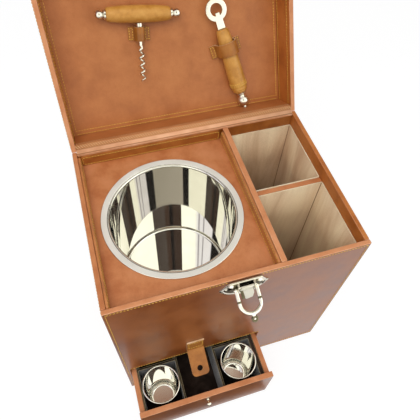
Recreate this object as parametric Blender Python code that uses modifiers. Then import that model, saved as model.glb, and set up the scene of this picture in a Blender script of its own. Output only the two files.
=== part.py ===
"""Travel bar case: a leather-covered case with a lift-out ice bucket, two bottle
compartments, a cup drawer, a hinged lid with two bar tools, and a nickel latch.

Metres, +Z up. X runs to the right, Y to the back, and the origin is the centre of
the underside. Hinged and sliding pieces are modelled in the closed pose, under an
empty on their joint's axis, and the empty is then set to the pose of the photograph.
"""

from math import asin, cos, pi, radians, sin, sqrt, tau

import bmesh
import bpy
from mathutils import Vector

# Case
CASE_WIDTH = 0.330
CASE_DEPTH = 0.238
CASE_HEIGHT = 0.327
LID_HEIGHT = 0.053
WALL = 0.006
LID_OPEN_ANGLE = radians(118.6)

# Fits and edges
SEAT = 0.0003
BOARD_EDGE = 0.0012
TRIM_EDGE = 0.0004
OVERRUN = 0.002
MERGE = 0.000005

# Inside of the body
BAY_WIDTH = 0.207
DIVIDER = 0.0075
CROSS_DIVIDER_SHIFT = 0.002
WELL_DEPTH = 0.0195
TRAY = 0.006
LINER = 0.0015
LINER_DROP = 0.021
SHELF = 0.004
STRIP = 0.003
STRIP_DROP = 0.002
STRIP_END_GAP = 0.0045
STRIP_CORNER = 0.005
GUSSET = 0.001
GUSSET_INSET = 0.0005

# Ice bucket
BUCKET_RADIUS = 0.081
BUCKET_WALL = 0.001
BUCKET_FLANGE_RADIUS = 0.0924
BUCKET_FLANGE = 0.0012
BUCKET_DEPTH = 0.165
BUCKET_FILLET = 0.010
BUCKET_SHIFT = -0.001
BUCKET_CLEARANCE = 0.0012

# Drawer and its opening
OPENING_LAP = 0.0015
OPENING_HEIGHT = 0.098
DRAWER_OUT = 0.0703
DRAWER_GAP = 0.0004
DRAWER_RUN = 0.0005
DRAWER_FRONT = 0.008
DRAWER_SIDE = 0.0075
DRAWER_SIDE_TOP = 0.080
DRAWER_BOTTOM = 0.003
DRAWER_DEPTH = 0.223
SHELF_CLEARANCE = 0.0006

# Cup cells and cups
CELL_WIDTH = 0.058
CELL_DEPTH = 0.060
CELL_WALL = 0.003
ROW_WALL = 0.0036
GRID_LEFT_RIM = 0.0022
GRID_FRONT_RIM = 0.0020
GRID_DROP = 0.002
CELL_COLUMNS = 3
MIDDLE_COLUMN = 1
CUP_ROWS = 2
CUP_RIM_RADIUS = 0.0280
CUP_TOP_RADIUS = 0.0270
CUP_BASE_RADIUS = 0.0225
CUP_WALL = 0.0010
CUP_HEIGHT = 0.083
CUP_LIP = 0.0022
CUP_FILLET = 0.004
CUP_CHAMFER = 0.002
CUP_SHIFT = 0.0014

# Closing strap and its stud
STRAP_WIDTH = 0.026
STRAP_THICKNESS = 0.0025
STRAP_TOP = 0.1485
STRAP_FOLD = 0.118
STRAP_FOLD_CHAMFER = 0.0022
STRAP_TAIL = 0.040
STRAP_HOLE_RADIUS = 0.00425
STRAP_HOLE_DROP = 0.030
STRAP_REST_ANGLE = radians(65)
STUD_HEAD_RADIUS = 0.0036
STUD_NECK_RADIUS = 0.0022
STUD_NECK = 0.0034
STUD_BASE_RADIUS = 0.0037
STUD_BASE = 0.0006

# Latch
LATCH_TOP_DROP = 0.006
LATCH_PLATE = 0.0012
LATCH_PLATE_HEIGHT = 0.036
LATCH_WING = 0.0315
LATCH_TOP_HALF_WIDTH = 0.021
HOUSING_HALF_WIDTH = 0.011
HOUSING_CHEEK = 0.0022
HOUSING_DEPTH = 0.0085
HOUSING_DROP = 0.003
HOUSING_HEIGHT = 0.019
HOUSING_BACK = 0.0012
HOUSING_BRIDGE = 0.0052
HOUSING_SLOT_DEPTH = 0.0042
PIN_RADIUS = 0.0012
PIN_CLEARANCE = 0.0003
PIN_STANDOFF = 0.0072
PIN_DROP = 0.015
PIN_HEAD = 0.0010
LEVER_REACH = 0.0105
LEVER_THICKNESS = 0.0014
LEVER_BARREL_RADIUS = 0.0024
LEVER_SIDE_GAP = 0.0004
BAIL_WIRE_RADIUS = 0.00145
BAIL_HALF_WIDTH = 0.0129
BAIL_REACH = 0.0286
BAIL_EYE_RADIUS = 0.0026
BAIL_TAB_RADIUS = 0.0042
BAIL_TAB_THICKNESS = 0.0028
BAIL_TAB_REACH = 0.0359
BAIL_NECK_RADIUS = 0.0013
LATCH_REST_ANGLE = radians(20.5)

# Catch on the lid
CATCH_HALF_WIDTH = 0.010
CATCH_PLATE = 0.0014
CATCH_BOTTOM_RISE = 0.002
CATCH_HEIGHT = 0.021
HOOK_HALF_WIDTH = 0.0032
HOOK_REACH = 0.0105
HOOK_THICKNESS = 0.0018
HOOK_CLEARANCE = 0.0009

# Lining and strip of the lid
LINING = 0.002

# Corkscrew
CORKSCREW_TILT = radians(5.5)
CORKSCREW_TIP_SIDE = -0.0488
CORKSCREW_TIP_ALONG = 0.0697
WORM_RADIUS = 0.0027
WORM_WIRE_RADIUS = 0.0013
WORM_PITCH = 0.0100
WORM_TURNS = 5
WORM_POINTS_A_TURN = 10
WORM_LEAD = 0.005
SHANK_LENGTH = 0.022
SHANK_RADIUS = 0.0024
SHANK_COLLAR_RADIUS = 0.0042
SHANK_COLLAR = 0.004
GRIP_RADIUS = 0.0110
GRIP_END_RADIUS = 0.0085
GRIP_LENGTH = 0.084
CAP_COLLAR_RADIUS = 0.0065
CAP_COLLAR = 0.003
CAP_BALL_RADIUS = 0.0060

# Bottle opener
OPENER_TILT = radians(13.1)
OPENER_BALL_SIDE = 0.0952
OPENER_BALL_ALONG = 0.0205
OPENER_RADIUS = 0.0122
OPENER_NECK_RADIUS = 0.0062
OPENER_SHOULDER = 0.009
OPENER_GRIP_LENGTH = 0.096
FINIAL_COLLAR_RADIUS = 0.0052
FINIAL_COLLAR = 0.003
FINIAL_BALL_RADIUS = 0.0074
FINIAL_TIP_RADIUS = 0.0022
FINIAL_TIP_REACH = 0.0110
OPENER_HEAD_THICKNESS = 0.0030
OPENER_HEAD_RADIUS = 0.0150
OPENER_HEAD_NECK = 0.0055
OPENER_HEAD_REACH = 0.026
OPENER_MOUTH_RADIUS = 0.0085
OPENER_TONGUE_HALF_WIDTH = 0.0030
OPENER_TONGUE = 0.0045

# Loops that hold the tools
LOOP_THICKNESS = 0.0020
LOOP_CLEARANCE = 0.0004
LOOP_FOOT = 0.0085
LOOP_WIDTH = 0.018
SHANK_LOOP_GAP = 0.0005
OPENER_LOOP_ALONG = 0.100

# Carry handle on the lid
HANDLE_SPREAD = 0.070
HANDLE_MOUNT_WIDTH = 0.008
HANDLE_PLATE = 0.0015
HANDLE_PLATE_HALF_LENGTH = 0.017
HANDLE_PLATE_HALF_WIDTH = 0.010
HANDLE_LUG_RADIUS = 0.0048
HANDLE_PIN_RISE = 0.0102
HANDLE_WIRE_RADIUS = 0.0022
HANDLE_REACH = 0.034
HANDLE_STUB = 0.003
HANDLE_CORNER = 0.008
HANDLE_GRIP_RADIUS = 0.0082
HANDLE_GRIP_END_RADIUS = 0.0062
HANDLE_GRIP_HALF_LENGTH = 0.052

# Counts of the round shapes
ROUND_STEPS = 24
LARGE_ROUND_STEPS = 48
SMALL_ROUND_STEPS = 16

# Places that follow from the sizes above
HALF_WIDTH = CASE_WIDTH / 2
HALF_DEPTH = CASE_DEPTH / 2
INNER_SIDE = HALF_WIDTH - WALL
INNER_END = HALF_DEPTH - WALL
RIM = CASE_HEIGHT - SEAT
LID_RIM = CASE_HEIGHT + SEAT
LID_TOP = CASE_HEIGHT + LID_HEIGHT
LID_INSIDE = LID_TOP - WALL - SEAT - LINING
FLOOR = WALL + SEAT
DIVIDER_LEFT = BAY_WIDTH - INNER_SIDE
DIVIDER_RIGHT = DIVIDER_LEFT + DIVIDER
BAY_CENTRE = (DIVIDER_LEFT - INNER_SIDE) / 2
TRAY_TOP = CASE_HEIGHT - WELL_DEPTH
LINER_TOP = CASE_HEIGHT - LINER_DROP
SHELF_BOTTOM = OPENING_HEIGHT + SHELF_CLEARANCE
OPENING_LEFT = -INNER_SIDE + OPENING_LAP
OPENING_RIGHT = DIVIDER_LEFT - DRAWER_RUN
DRAWER_LEFT = OPENING_LEFT + DRAWER_GAP
DRAWER_RIGHT = OPENING_RIGHT - DRAWER_GAP
DRAWER_FRONT_BACK = -HALF_DEPTH + DRAWER_FRONT
DRAWER_BACK = -HALF_DEPTH + DRAWER_DEPTH
DRAWER_FLOOR = FLOOR + DRAWER_BOTTOM
GRID_TOP = DRAWER_SIDE_TOP - GRID_DROP
GRID_LEFT = DRAWER_LEFT + DRAWER_SIDE + SEAT
GRID_RIGHT = DRAWER_RIGHT - DRAWER_SIDE - SEAT
GRID_FRONT = DRAWER_FRONT_BACK + SEAT
CELLS_LEFT = GRID_LEFT + GRID_LEFT_RIM
CELLS_FRONT = GRID_FRONT + GRID_FRONT_RIM
CELL_PITCH_ACROSS = CELL_WIDTH + CELL_WALL
CELL_PITCH_DEEP = CELL_DEPTH + ROW_WALL
GRID_BACK = CELLS_FRONT + CUP_ROWS * CELL_PITCH_DEEP - ROW_WALL + GRID_FRONT_RIM
STRAP_CENTRE = CELLS_LEFT + CELL_PITCH_ACROSS + CELL_WIDTH / 2
STRAP_BACK = -HALF_DEPTH - SEAT
STRAP_MIDDLE = STRAP_BACK - STRAP_THICKNESS / 2
PIN_HEIGHT = CASE_HEIGHT - PIN_DROP
PIN_FRONT = -HALF_DEPTH - PIN_STANDOFF
HOUSING_FACE = -HALF_DEPTH - SEAT - LATCH_PLATE - SEAT
HANDLE_PIN_HEIGHT = LID_TOP + HANDLE_PIN_RISE
HANDLE_HANG_ANGLE = LID_OPEN_ANGLE - pi / 2

SMOOTH_ANGLE = radians(35)

joint_homes = {}


# Scene and materials


def clear_scene():
    for old in list(bpy.data.objects):
        bpy.data.objects.remove(old, do_unlink=True)


def new_collection(name):
    collection = bpy.data.collections.new(name)
    bpy.context.scene.collection.children.link(collection)
    return collection


def new_material(name, colour, roughness, metallic):
    material = bpy.data.materials.new(name)
    material.use_nodes = True
    shader = material.node_tree.nodes["Principled BSDF"]
    shader.inputs["Base Color"].default_value = (*colour, 1.0)
    shader.inputs["Roughness"].default_value = roughness
    shader.inputs["Metallic"].default_value = metallic
    material.diffuse_color = (*colour, 1.0)
    return material


clear_scene()
parts = new_collection("Travel bar case")
cutters = new_collection("Cutters")

tan_leather = (0.47, 0.18, 0.075)
pale_leather = (0.62, 0.32, 0.20)
dark_leather = (0.22, 0.075, 0.025)
glossy_leather = (0.20, 0.075, 0.035)
golden_leather = (0.50, 0.25, 0.07)
suede = (0.45, 0.35, 0.22)
dark_velvet = (0.045, 0.030, 0.022)
steel = (0.66, 0.65, 0.62)
nickel = (0.72, 0.70, 0.66)


# Shapes


def keep(obj, name, colour, roughness=0.5, metallic=0.0):
    obj.name = name
    obj.data.name = name
    obj.data.materials.clear()
    obj.data.materials.append(new_material(name, colour, roughness, metallic))
    for collection in list(obj.users_collection):
        collection.objects.unlink(obj)
    parts.objects.link(obj)
    return obj


def as_cutter(obj, name):
    obj.name = name
    for collection in list(obj.users_collection):
        collection.objects.unlink(obj)
    cutters.objects.link(obj)
    obj.hide_render = True
    obj.display_type = "WIRE"
    return obj


def block(low, high, edge=0.0):
    """A box between two corners, with its edges chamfered by edge."""
    low = Vector(low)
    high = Vector(high)
    bpy.ops.mesh.primitive_cube_add(size=1, location=(low + high) / 2)
    obj = bpy.context.object
    obj.scale = high - low
    bpy.ops.object.transform_apply(location=False, rotation=False, scale=True)
    if edge:
        bevel = obj.modifiers.new("Edges", "BEVEL")
        bevel.width = edge
        bevel.segments = 1
    return obj


def rod(radius, length, centre, axis, steps=ROUND_STEPS):
    """A cylinder with its middle at centre, along the axis X, Y or Z."""
    turns = {"X": (0, pi / 2, 0), "Y": (pi / 2, 0, 0), "Z": (0, 0, 0)}
    bpy.ops.mesh.primitive_cylinder_add(
        vertices=steps, radius=radius, depth=length, location=centre, rotation=turns[axis]
    )
    return bpy.context.object


def turned(profile, centre, steps=ROUND_STEPS, closed=False):
    """A turned shape from (radius, height) points that run down its outer side."""
    mesh = bpy.data.meshes.new("Profile")
    points = [(radius, 0, height) for radius, height in profile]
    edges = [(i, i + 1) for i in range(len(points) - 1)]
    if closed:
        edges.append((len(points) - 1, 0))
    mesh.from_pydata(points, edges, [])
    obj = bpy.data.objects.new("Turned", mesh)
    bpy.context.scene.collection.objects.link(obj)
    obj.location = centre
    screw = obj.modifiers.new("Turn", "SCREW")
    screw.steps = steps
    screw.render_steps = steps
    screw.use_merge_vertices = True
    screw.merge_threshold = MERGE
    screw.use_smooth_shade = True
    return obj


def tube(points, radius, sides_level=2, radii=None, closed=False):
    """A wire along a list of points, with filled ends."""
    curve = bpy.data.curves.new("Wire", "CURVE")
    curve.dimensions = "3D"
    curve.bevel_depth = radius
    curve.bevel_resolution = sides_level
    curve.use_fill_caps = True
    spline = curve.splines.new("POLY")
    spline.points.add(len(points) - 1)
    spline.use_cyclic_u = closed
    for i, point in enumerate(points):
        spline.points[i].co = (*point, 1)
        spline.points[i].radius = radii[i] / radius if radii else 1
    obj = bpy.data.objects.new("Wire", curve)
    bpy.context.scene.collection.objects.link(obj)
    return solid_mesh(obj)


def sheet(outlines, thickness, centre, rotation=(0, 0, 0)):
    """A flat shape with its outline and its holes in X and Y, thick along Z."""
    curve = bpy.data.curves.new("Outline", "CURVE")
    curve.dimensions = "2D"
    curve.fill_mode = "BOTH"
    curve.extrude = thickness / 2
    for outline in outlines:
        spline = curve.splines.new("POLY")
        spline.points.add(len(outline) - 1)
        spline.use_cyclic_u = True
        for i, (x, y) in enumerate(outline):
            spline.points[i].co = (x, y, 0, 1)
    obj = bpy.data.objects.new("Outline", curve)
    bpy.context.scene.collection.objects.link(obj)
    obj.location = centre
    obj.rotation_euler = rotation
    return solid_mesh(obj)


def solid_mesh(curve_object):
    """The mesh of a curve object, with its caps joined to its sides."""
    bpy.context.view_layer.update()
    graph = bpy.context.evaluated_depsgraph_get()
    mesh = bpy.data.meshes.new_from_object(curve_object.evaluated_get(graph))
    work = bmesh.new()
    work.from_mesh(mesh)
    bmesh.ops.remove_doubles(work, verts=work.verts, dist=MERGE)
    bmesh.ops.recalc_face_normals(work, faces=work.faces)
    work.to_mesh(mesh)
    work.free()
    obj = bpy.data.objects.new("Solid", mesh)
    bpy.context.scene.collection.objects.link(obj)
    obj.matrix_world = curve_object.matrix_world
    bpy.data.objects.remove(curve_object, do_unlink=True)
    return obj


def smooth(obj):
    obj.data.shade_smooth()
    obj.data.set_sharp_from_angle(angle=SMOOTH_ANGLE)
    return obj


def combine(obj, tool, name, operation="DIFFERENCE"):
    """Cut a tool out of an object, or join it on."""
    as_cutter(tool, name)
    boolean = obj.modifiers.new(name, "BOOLEAN")
    boolean.object = tool
    boolean.operation = operation
    boolean.solver = "EXACT"
    return tool


def arc(centre_x, centre_y, radius, start, end, steps):
    """Points along an arc, both ends included."""
    points = []
    for i in range(steps + 1):
        angle = start + (end - start) * i / steps
        points.append((centre_x + radius * cos(angle), centre_y + radius * sin(angle)))
    return points


def circle(centre_x, centre_y, radius, steps=ROUND_STEPS):
    return arc(centre_x, centre_y, radius, 0, tau * (steps - 1) / steps, steps - 1)


# Joints


def joint(name, place, parent=None):
    """An empty on a joint's axis. place is its point in the closed pose."""
    empty = bpy.data.objects.new(name, None)
    parts.objects.link(empty)
    joint_homes[name] = Vector(place)
    empty.location = place
    if parent:
        hang(empty, parent)
    return empty


def hang(obj, parent):
    """Parent an object that was placed in the closed pose."""
    obj.parent = parent
    obj.location = obj.location - joint_homes[parent.name]
    return obj


# Body of the case


def build_body():
    base = block((-HALF_WIDTH, -HALF_DEPTH, 0), (HALF_WIDTH, HALF_DEPTH, WALL), BOARD_EDGE)
    keep(base, "base_board", tan_leather)

    front = block(
        (-HALF_WIDTH, -HALF_DEPTH, FLOOR), (HALF_WIDTH, -INNER_END, RIM), BOARD_EDGE
    )
    keep(front, "front_panel", glossy_leather, 0.25)
    opening = block(
        (OPENING_LEFT, -HALF_DEPTH - OVERRUN, FLOOR - OVERRUN),
        (OPENING_RIGHT, -INNER_END + OVERRUN, OPENING_HEIGHT),
    )
    combine(front, opening, "drawer_opening")

    back = block(
        (-INNER_SIDE + SEAT, INNER_END, FLOOR),
        (INNER_SIDE - SEAT, HALF_DEPTH, RIM - GUSSET - SEAT),
        BOARD_EDGE,
    )
    keep(back, "back_panel", tan_leather)

    for name, side in (("left_panel", -1), ("right_panel", 1)):
        edges = sorted((side * INNER_SIDE, side * HALF_WIDTH))
        panel = block(
            (edges[0], -INNER_END + SEAT, FLOOR), (edges[1], HALF_DEPTH, RIM), BOARD_EDGE
        )
        keep(panel, name, tan_leather)


def build_dividers():
    ends = INNER_END - SEAT
    divider = block((DIVIDER_LEFT, -ends, FLOOR), (DIVIDER_RIGHT, ends, RIM), BOARD_EDGE)
    keep(divider, "centre_divider", tan_leather)

    cross_front = CROSS_DIVIDER_SHIFT - DIVIDER / 2
    cross_back = CROSS_DIVIDER_SHIFT + DIVIDER / 2
    left = DIVIDER_RIGHT + SEAT
    right = INNER_SIDE - SEAT
    cross = block(
        (left, cross_front, FLOOR), (right, cross_back, LINER_TOP), BOARD_EDGE
    )
    keep(cross, "cross_divider", suede, 0.8)

    cells = (
        ("front_bottle_liner", -ends, cross_front - SEAT),
        ("rear_bottle_liner", cross_back + SEAT, ends),
    )
    for name, low, high in cells:
        liner = block((left, low, FLOOR), (right, high, LINER_TOP), TRIM_EDGE)
        keep(liner, name, suede, 0.95)
        hollow = block(
            (left + LINER, low + LINER, FLOOR + LINER),
            (right - LINER, high - LINER, LINER_TOP + OVERRUN),
        )
        combine(liner, hollow, name + "_hollow")


def build_bay():
    left = -INNER_SIDE + SEAT
    right = DIVIDER_LEFT - SEAT
    ends = INNER_END - SEAT

    shelf = block((left, -ends, SHELF_BOTTOM), (right, ends, SHELF_BOTTOM + SHELF), TRIM_EDGE)
    keep(shelf, "drawer_bay_shelf", tan_leather)

    tray = block((left, -ends, TRAY_TOP - TRAY), (right, ends, TRAY_TOP), TRIM_EDGE)
    keep(tray, "bucket_tray", tan_leather)
    hole_radius = BUCKET_RADIUS + BUCKET_WALL + BUCKET_CLEARANCE
    hole = rod(
        hole_radius,
        TRAY + 2 * OVERRUN,
        (BAY_CENTRE, BUCKET_SHIFT, TRAY_TOP - TRAY / 2),
        "Z",
        LARGE_ROUND_STEPS,
    )
    combine(tray, hole, "bucket_hole")

    bottom = TRAY_TOP + SEAT
    top = CASE_HEIGHT - STRIP_DROP
    left_strip = block((left, -ends, bottom), (left + STRIP, ends, top), TRIM_EDGE)
    keep(left_strip, "well_strip_left", dark_leather)

    divider_strip = block(
        (right - STRIP, -ends, bottom), (right, ends - STRIP - SEAT, top), TRIM_EDGE
    )
    keep(divider_strip, "well_strip_divider", dark_leather)

    back_left = left + STRIP + SEAT
    back_right = DIVIDER_LEFT - STRIP_END_GAP
    outline = [(back_left, bottom)]
    outline += arc(
        back_right - STRIP_CORNER, bottom + STRIP_CORNER, STRIP_CORNER, -pi / 2, 0, 4
    )
    outline += arc(
        back_right - STRIP_CORNER, top - STRIP_CORNER, STRIP_CORNER, 0, pi / 2, 4
    )
    outline.append((back_left, top))
    back_strip = sheet([outline], STRIP, (0, ends - STRIP / 2, 0), (pi / 2, 0, 0))
    keep(back_strip, "well_strip_back", dark_leather)


def build_gusset(name, height, parent=None):
    """One side of the leather gusset, flat on the back edge of the body or the lid."""
    half = INNER_SIDE - SEAT - GUSSET_INSET
    strip = block(
        (-half, INNER_END, height - GUSSET / 2), (half, HALF_DEPTH, height + GUSSET / 2)
    )
    keep(strip, name, pale_leather, 0.45)
    if parent:
        hang(strip, parent)


# Ice bucket


def build_bucket():
    seat = TRAY_TOP + SEAT
    top = seat + BUCKET_FLANGE
    joint_place = (BAY_CENTRE, BUCKET_SHIFT, seat)
    lift = joint("ice_bucket_lift", joint_place)
    floor = top - BUCKET_DEPTH
    outer = BUCKET_RADIUS + BUCKET_WALL
    profile = [(0, floor)]
    profile += arc(
        BUCKET_RADIUS - BUCKET_FILLET, floor + BUCKET_FILLET, BUCKET_FILLET, -pi / 2, 0, 4
    )
    profile += [
        (BUCKET_RADIUS, top),
        (BUCKET_FLANGE_RADIUS, top),
        (BUCKET_FLANGE_RADIUS, seat),
        (outer, seat),
    ]
    profile += arc(
        BUCKET_RADIUS - BUCKET_FILLET,
        floor + BUCKET_FILLET,
        BUCKET_FILLET + BUCKET_WALL,
        0,
        -pi / 2,
        4,
    )
    profile.append((0, floor - BUCKET_WALL))
    local = [(radius, height - seat) for radius, height in profile]
    bucket = turned(local, joint_place, LARGE_ROUND_STEPS)
    keep(bucket, "ice_bucket", steel, 0.08, 1.0)
    hang(bucket, lift)


# Drawer


def build_drawer():
    slide = joint("drawer_slide", (0, 0, 0))

    front = block(
        (DRAWER_LEFT, -HALF_DEPTH, FLOOR),
        (DRAWER_RIGHT, DRAWER_FRONT_BACK, OPENING_HEIGHT - DRAWER_GAP),
        BOARD_EDGE,
    )
    keep(front, "drawer_front", glossy_leather, 0.25)
    hang(front, slide)

    near = DRAWER_FRONT_BACK + SEAT
    bottom = block(
        (DRAWER_LEFT, near, FLOOR), (DRAWER_RIGHT, DRAWER_BACK, DRAWER_FLOOR), TRIM_EDGE
    )
    keep(bottom, "drawer_bottom", dark_velvet, 0.9)
    hang(bottom, slide)

    base = DRAWER_FLOOR + SEAT
    sides = (
        ("drawer_left_side", DRAWER_LEFT, DRAWER_LEFT + DRAWER_SIDE),
        ("drawer_right_side", DRAWER_RIGHT - DRAWER_SIDE, DRAWER_RIGHT),
    )
    for name, low, high in sides:
        side = block((low, near, base), (high, DRAWER_BACK, DRAWER_SIDE_TOP), TRIM_EDGE)
        keep(side, name, tan_leather)
        hang(side, slide)

    back = block(
        (GRID_LEFT, DRAWER_BACK - DRAWER_SIDE, base),
        (GRID_RIGHT, DRAWER_BACK, DRAWER_SIDE_TOP),
        TRIM_EDGE,
    )
    keep(back, "drawer_back", tan_leather)
    hang(back, slide)

    build_cup_grid(slide, base)
    build_stud(slide)
    build_cups(slide, base)
    slide.location.y = -DRAWER_OUT


def build_cup_grid(slide, base):
    """Cells for cups on the left and right, and one long middle cell under the strap."""
    outlines = [
        [
            (GRID_LEFT, GRID_FRONT),
            (GRID_RIGHT, GRID_FRONT),
            (GRID_RIGHT, GRID_BACK),
            (GRID_LEFT, GRID_BACK),
        ]
    ]
    for column in range(CELL_COLUMNS):
        left = CELLS_LEFT + column * CELL_PITCH_ACROSS
        right = left + CELL_WIDTH
        cells = [(row, row) for row in range(CUP_ROWS)]
        if column == MIDDLE_COLUMN:
            cells = [(0, CUP_ROWS - 1)]
        for first, last in cells:
            near = CELLS_FRONT + first * CELL_PITCH_DEEP
            far = CELLS_FRONT + last * CELL_PITCH_DEEP + CELL_DEPTH
            outlines.append([(left, near), (right, near), (right, far), (left, far)])
    height = GRID_TOP - base
    grid = sheet(outlines, height, (0, 0, base + height / 2))
    keep(grid, "cup_cells", dark_velvet, 0.9)
    hang(grid, slide)


def build_stud(slide):
    """The knob on the drawer front that the strap buttons over."""
    neck_end = STUD_BASE + STUD_NECK
    sink = sqrt(STUD_HEAD_RADIUS**2 - STUD_NECK_RADIUS**2)
    start = -pi / 2 + asin(STUD_NECK_RADIUS / STUD_HEAD_RADIUS)
    profile = [(0, neck_end + sink + STUD_HEAD_RADIUS)]
    profile += arc(0, neck_end + sink, STUD_HEAD_RADIUS, 3 * pi / 8, start, 5)
    profile += [(STUD_NECK_RADIUS, neck_end), (STUD_NECK_RADIUS, STUD_BASE)]
    profile += [(STUD_BASE_RADIUS, STUD_BASE), (STUD_BASE_RADIUS, 0), (0, 0)]
    face = -HALF_DEPTH - SEAT
    stud = turned(profile, (STRAP_CENTRE, face, STRAP_FOLD - STRAP_HOLE_DROP), SMALL_ROUND_STEPS)
    stud.rotation_euler = (pi / 2, 0, 0)
    keep(stud, "drawer_stud", nickel, 0.2, 1.0)
    hang(stud, slide)


def cup_profile():
    slope = (CUP_TOP_RADIUS - CUP_BASE_RADIUS) / CUP_HEIGHT
    inside = CUP_WALL
    profile = [(0, inside)]
    profile += arc(
        CUP_BASE_RADIUS - inside - CUP_FILLET,
        inside + CUP_FILLET,
        CUP_FILLET,
        -pi / 2,
        0,
        3,
    )
    lip_low = CUP_HEIGHT - CUP_LIP
    profile += [
        (CUP_TOP_RADIUS - CUP_WALL, CUP_HEIGHT),
        (CUP_RIM_RADIUS - CUP_WALL / 2, CUP_HEIGHT),
        (CUP_RIM_RADIUS, CUP_HEIGHT - CUP_LIP / 2),
        (CUP_BASE_RADIUS + slope * lip_low, lip_low),
        (CUP_BASE_RADIUS + slope * CUP_CHAMFER, CUP_CHAMFER),
        (CUP_BASE_RADIUS - CUP_CHAMFER, 0),
        (0, 0),
    ]
    return profile


def build_cups(slide, foot):
    """The front cups lift out. The rear ones stand under the case when the drawer is drawn."""
    for row in range(CUP_ROWS):
        for side_name, column in (("left", 0), ("right", CELL_COLUMNS - 1)):
            x = CELLS_LEFT + column * CELL_PITCH_ACROSS + CELL_WIDTH / 2
            y = CELLS_FRONT + row * CELL_PITCH_DEEP + CELL_DEPTH / 2 - CUP_SHIFT
            cup = turned(cup_profile(), (x, y, foot))
            row_name = ("front", "rear")[row]
            name = "cup_" + row_name + "_" + side_name
            keep(cup, name, steel, 0.1, 1.0)
            if row == 0:
                lift = joint(name + "_lift", (x, y, foot), slide)
                hang(cup, lift)
            else:
                hang(cup, slide)


# Closing strap


def build_strap():
    """The sewn end is cut away in front at the fold, so the tail can turn up past level."""
    half = STRAP_THICKNESS / 2
    fold_gap = half + SEAT
    across = (pi / 2, 0, pi / 2)
    outline = [
        (-half, STRAP_TOP),
        (-half, STRAP_FOLD + fold_gap + STRAP_FOLD_CHAMFER),
        (STRAP_FOLD_CHAMFER - half, STRAP_FOLD + fold_gap),
        (half, STRAP_FOLD + fold_gap),
        (half, STRAP_TOP),
    ]
    sewn = sheet([outline], STRAP_WIDTH, (STRAP_CENTRE, STRAP_MIDDLE, 0), across)
    keep(sewn, "strap_sewn_end", golden_leather, 0.4)

    fold = joint("strap_fold", (STRAP_CENTRE, STRAP_MIDDLE, STRAP_FOLD))
    outline = arc(0, 0, half, 0, pi, 6)
    outline += arc(0, -STRAP_TAIL + half, half, pi, tau, 4)
    tail = sheet([outline], STRAP_WIDTH, (STRAP_CENTRE, STRAP_MIDDLE, STRAP_FOLD), across)
    keep(tail, "strap_tail", golden_leather, 0.4)
    hole = rod(
        STRAP_HOLE_RADIUS,
        STRAP_THICKNESS + 2 * OVERRUN,
        (STRAP_CENTRE, STRAP_MIDDLE, STRAP_FOLD - STRAP_HOLE_DROP),
        "Y",
        SMALL_ROUND_STEPS,
    )
    combine(tail, hole, "strap_hole")
    hang(tail, fold)
    hang(hole, fold)
    fold.rotation_euler.x = -STRAP_REST_ANGLE


# Latch


def build_latch():
    build_latch_plate()
    build_housing()

    length = 2 * (BAIL_HALF_WIDTH + BAIL_WIRE_RADIUS + SEAT + PIN_HEAD)
    pin = rod(PIN_RADIUS, length, (0, PIN_FRONT, PIN_HEIGHT), "X", SMALL_ROUND_STEPS)
    keep(pin, "latch_pin", nickel, 0.25, 1.0)

    lever_turn = joint("latch_lever_turn", (0, PIN_FRONT, PIN_HEIGHT))
    bail_turn = joint("latch_bail_turn", (0, PIN_FRONT, PIN_HEIGHT))
    build_lever(lever_turn)
    build_bail(bail_turn)
    lever_turn.rotation_euler.x = LATCH_REST_ANGLE
    bail_turn.rotation_euler.x = LATCH_REST_ANGLE


def build_latch_plate():
    """The winged plate on the front, with a point at each side and a round foot."""
    top = CASE_HEIGHT - LATCH_TOP_DROP
    bottom = top - LATCH_PLATE_HEIGHT
    shoulder_share = 0.22
    tip_share = 0.53
    waist_share = 0.62
    foot_share = 0.86
    top_half = LATCH_TOP_HALF_WIDTH
    right = [
        (top_half, top),
        (top_half + TRIM_EDGE, top - shoulder_share * LATCH_PLATE_HEIGHT),
        (LATCH_WING, top - tip_share * LATCH_PLATE_HEIGHT),
        (HOUSING_HALF_WIDTH + HOUSING_CHEEK, top - waist_share * LATCH_PLATE_HEIGHT),
        (HOUSING_HALF_WIDTH, top - foot_share * LATCH_PLATE_HEIGHT),
        (HOUSING_HALF_WIDTH / 2, bottom),
    ]
    outline = right + [(-x, z) for x, z in reversed(right)]
    middle = -HALF_DEPTH - SEAT - LATCH_PLATE / 2
    plate = sheet([outline], LATCH_PLATE, (0, middle, 0), (pi / 2, 0, 0))
    keep(plate, "latch_plate", nickel, 0.2, 1.0)


def build_housing():
    """The raised housing, open in front for the lever and on top as a slot."""
    top = CASE_HEIGHT - LATCH_TOP_DROP + HOUSING_DROP
    bottom = top - HOUSING_HEIGHT
    front = HOUSING_FACE - HOUSING_DEPTH
    housing = block(
        (-HOUSING_HALF_WIDTH, front, bottom), (HOUSING_HALF_WIDTH, HOUSING_FACE, top), TRIM_EDGE
    )
    keep(housing, "latch_housing", nickel, 0.2, 1.0)
    inside = HOUSING_HALF_WIDTH - HOUSING_CHEEK
    cavity = block(
        (-inside, front - OVERRUN, bottom - OVERRUN),
        (inside, HOUSING_FACE - HOUSING_BACK, top - HOUSING_BRIDGE),
    )
    slot = block(
        (-inside + HOUSING_BACK, HOUSING_FACE - HOUSING_BACK - HOUSING_SLOT_DEPTH, bottom),
        (inside - HOUSING_BACK, HOUSING_FACE - HOUSING_BACK, top + OVERRUN),
    )
    pin_hole = rod(
        PIN_RADIUS + PIN_CLEARANCE,
        2 * (HOUSING_HALF_WIDTH + OVERRUN),
        (0, PIN_FRONT, PIN_HEIGHT),
        "X",
        SMALL_ROUND_STEPS,
    )
    combine(housing, cavity, "lever_cavity")
    combine(housing, slot, "latch_slot")
    combine(housing, pin_hole, "housing_pin_hole")


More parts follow.
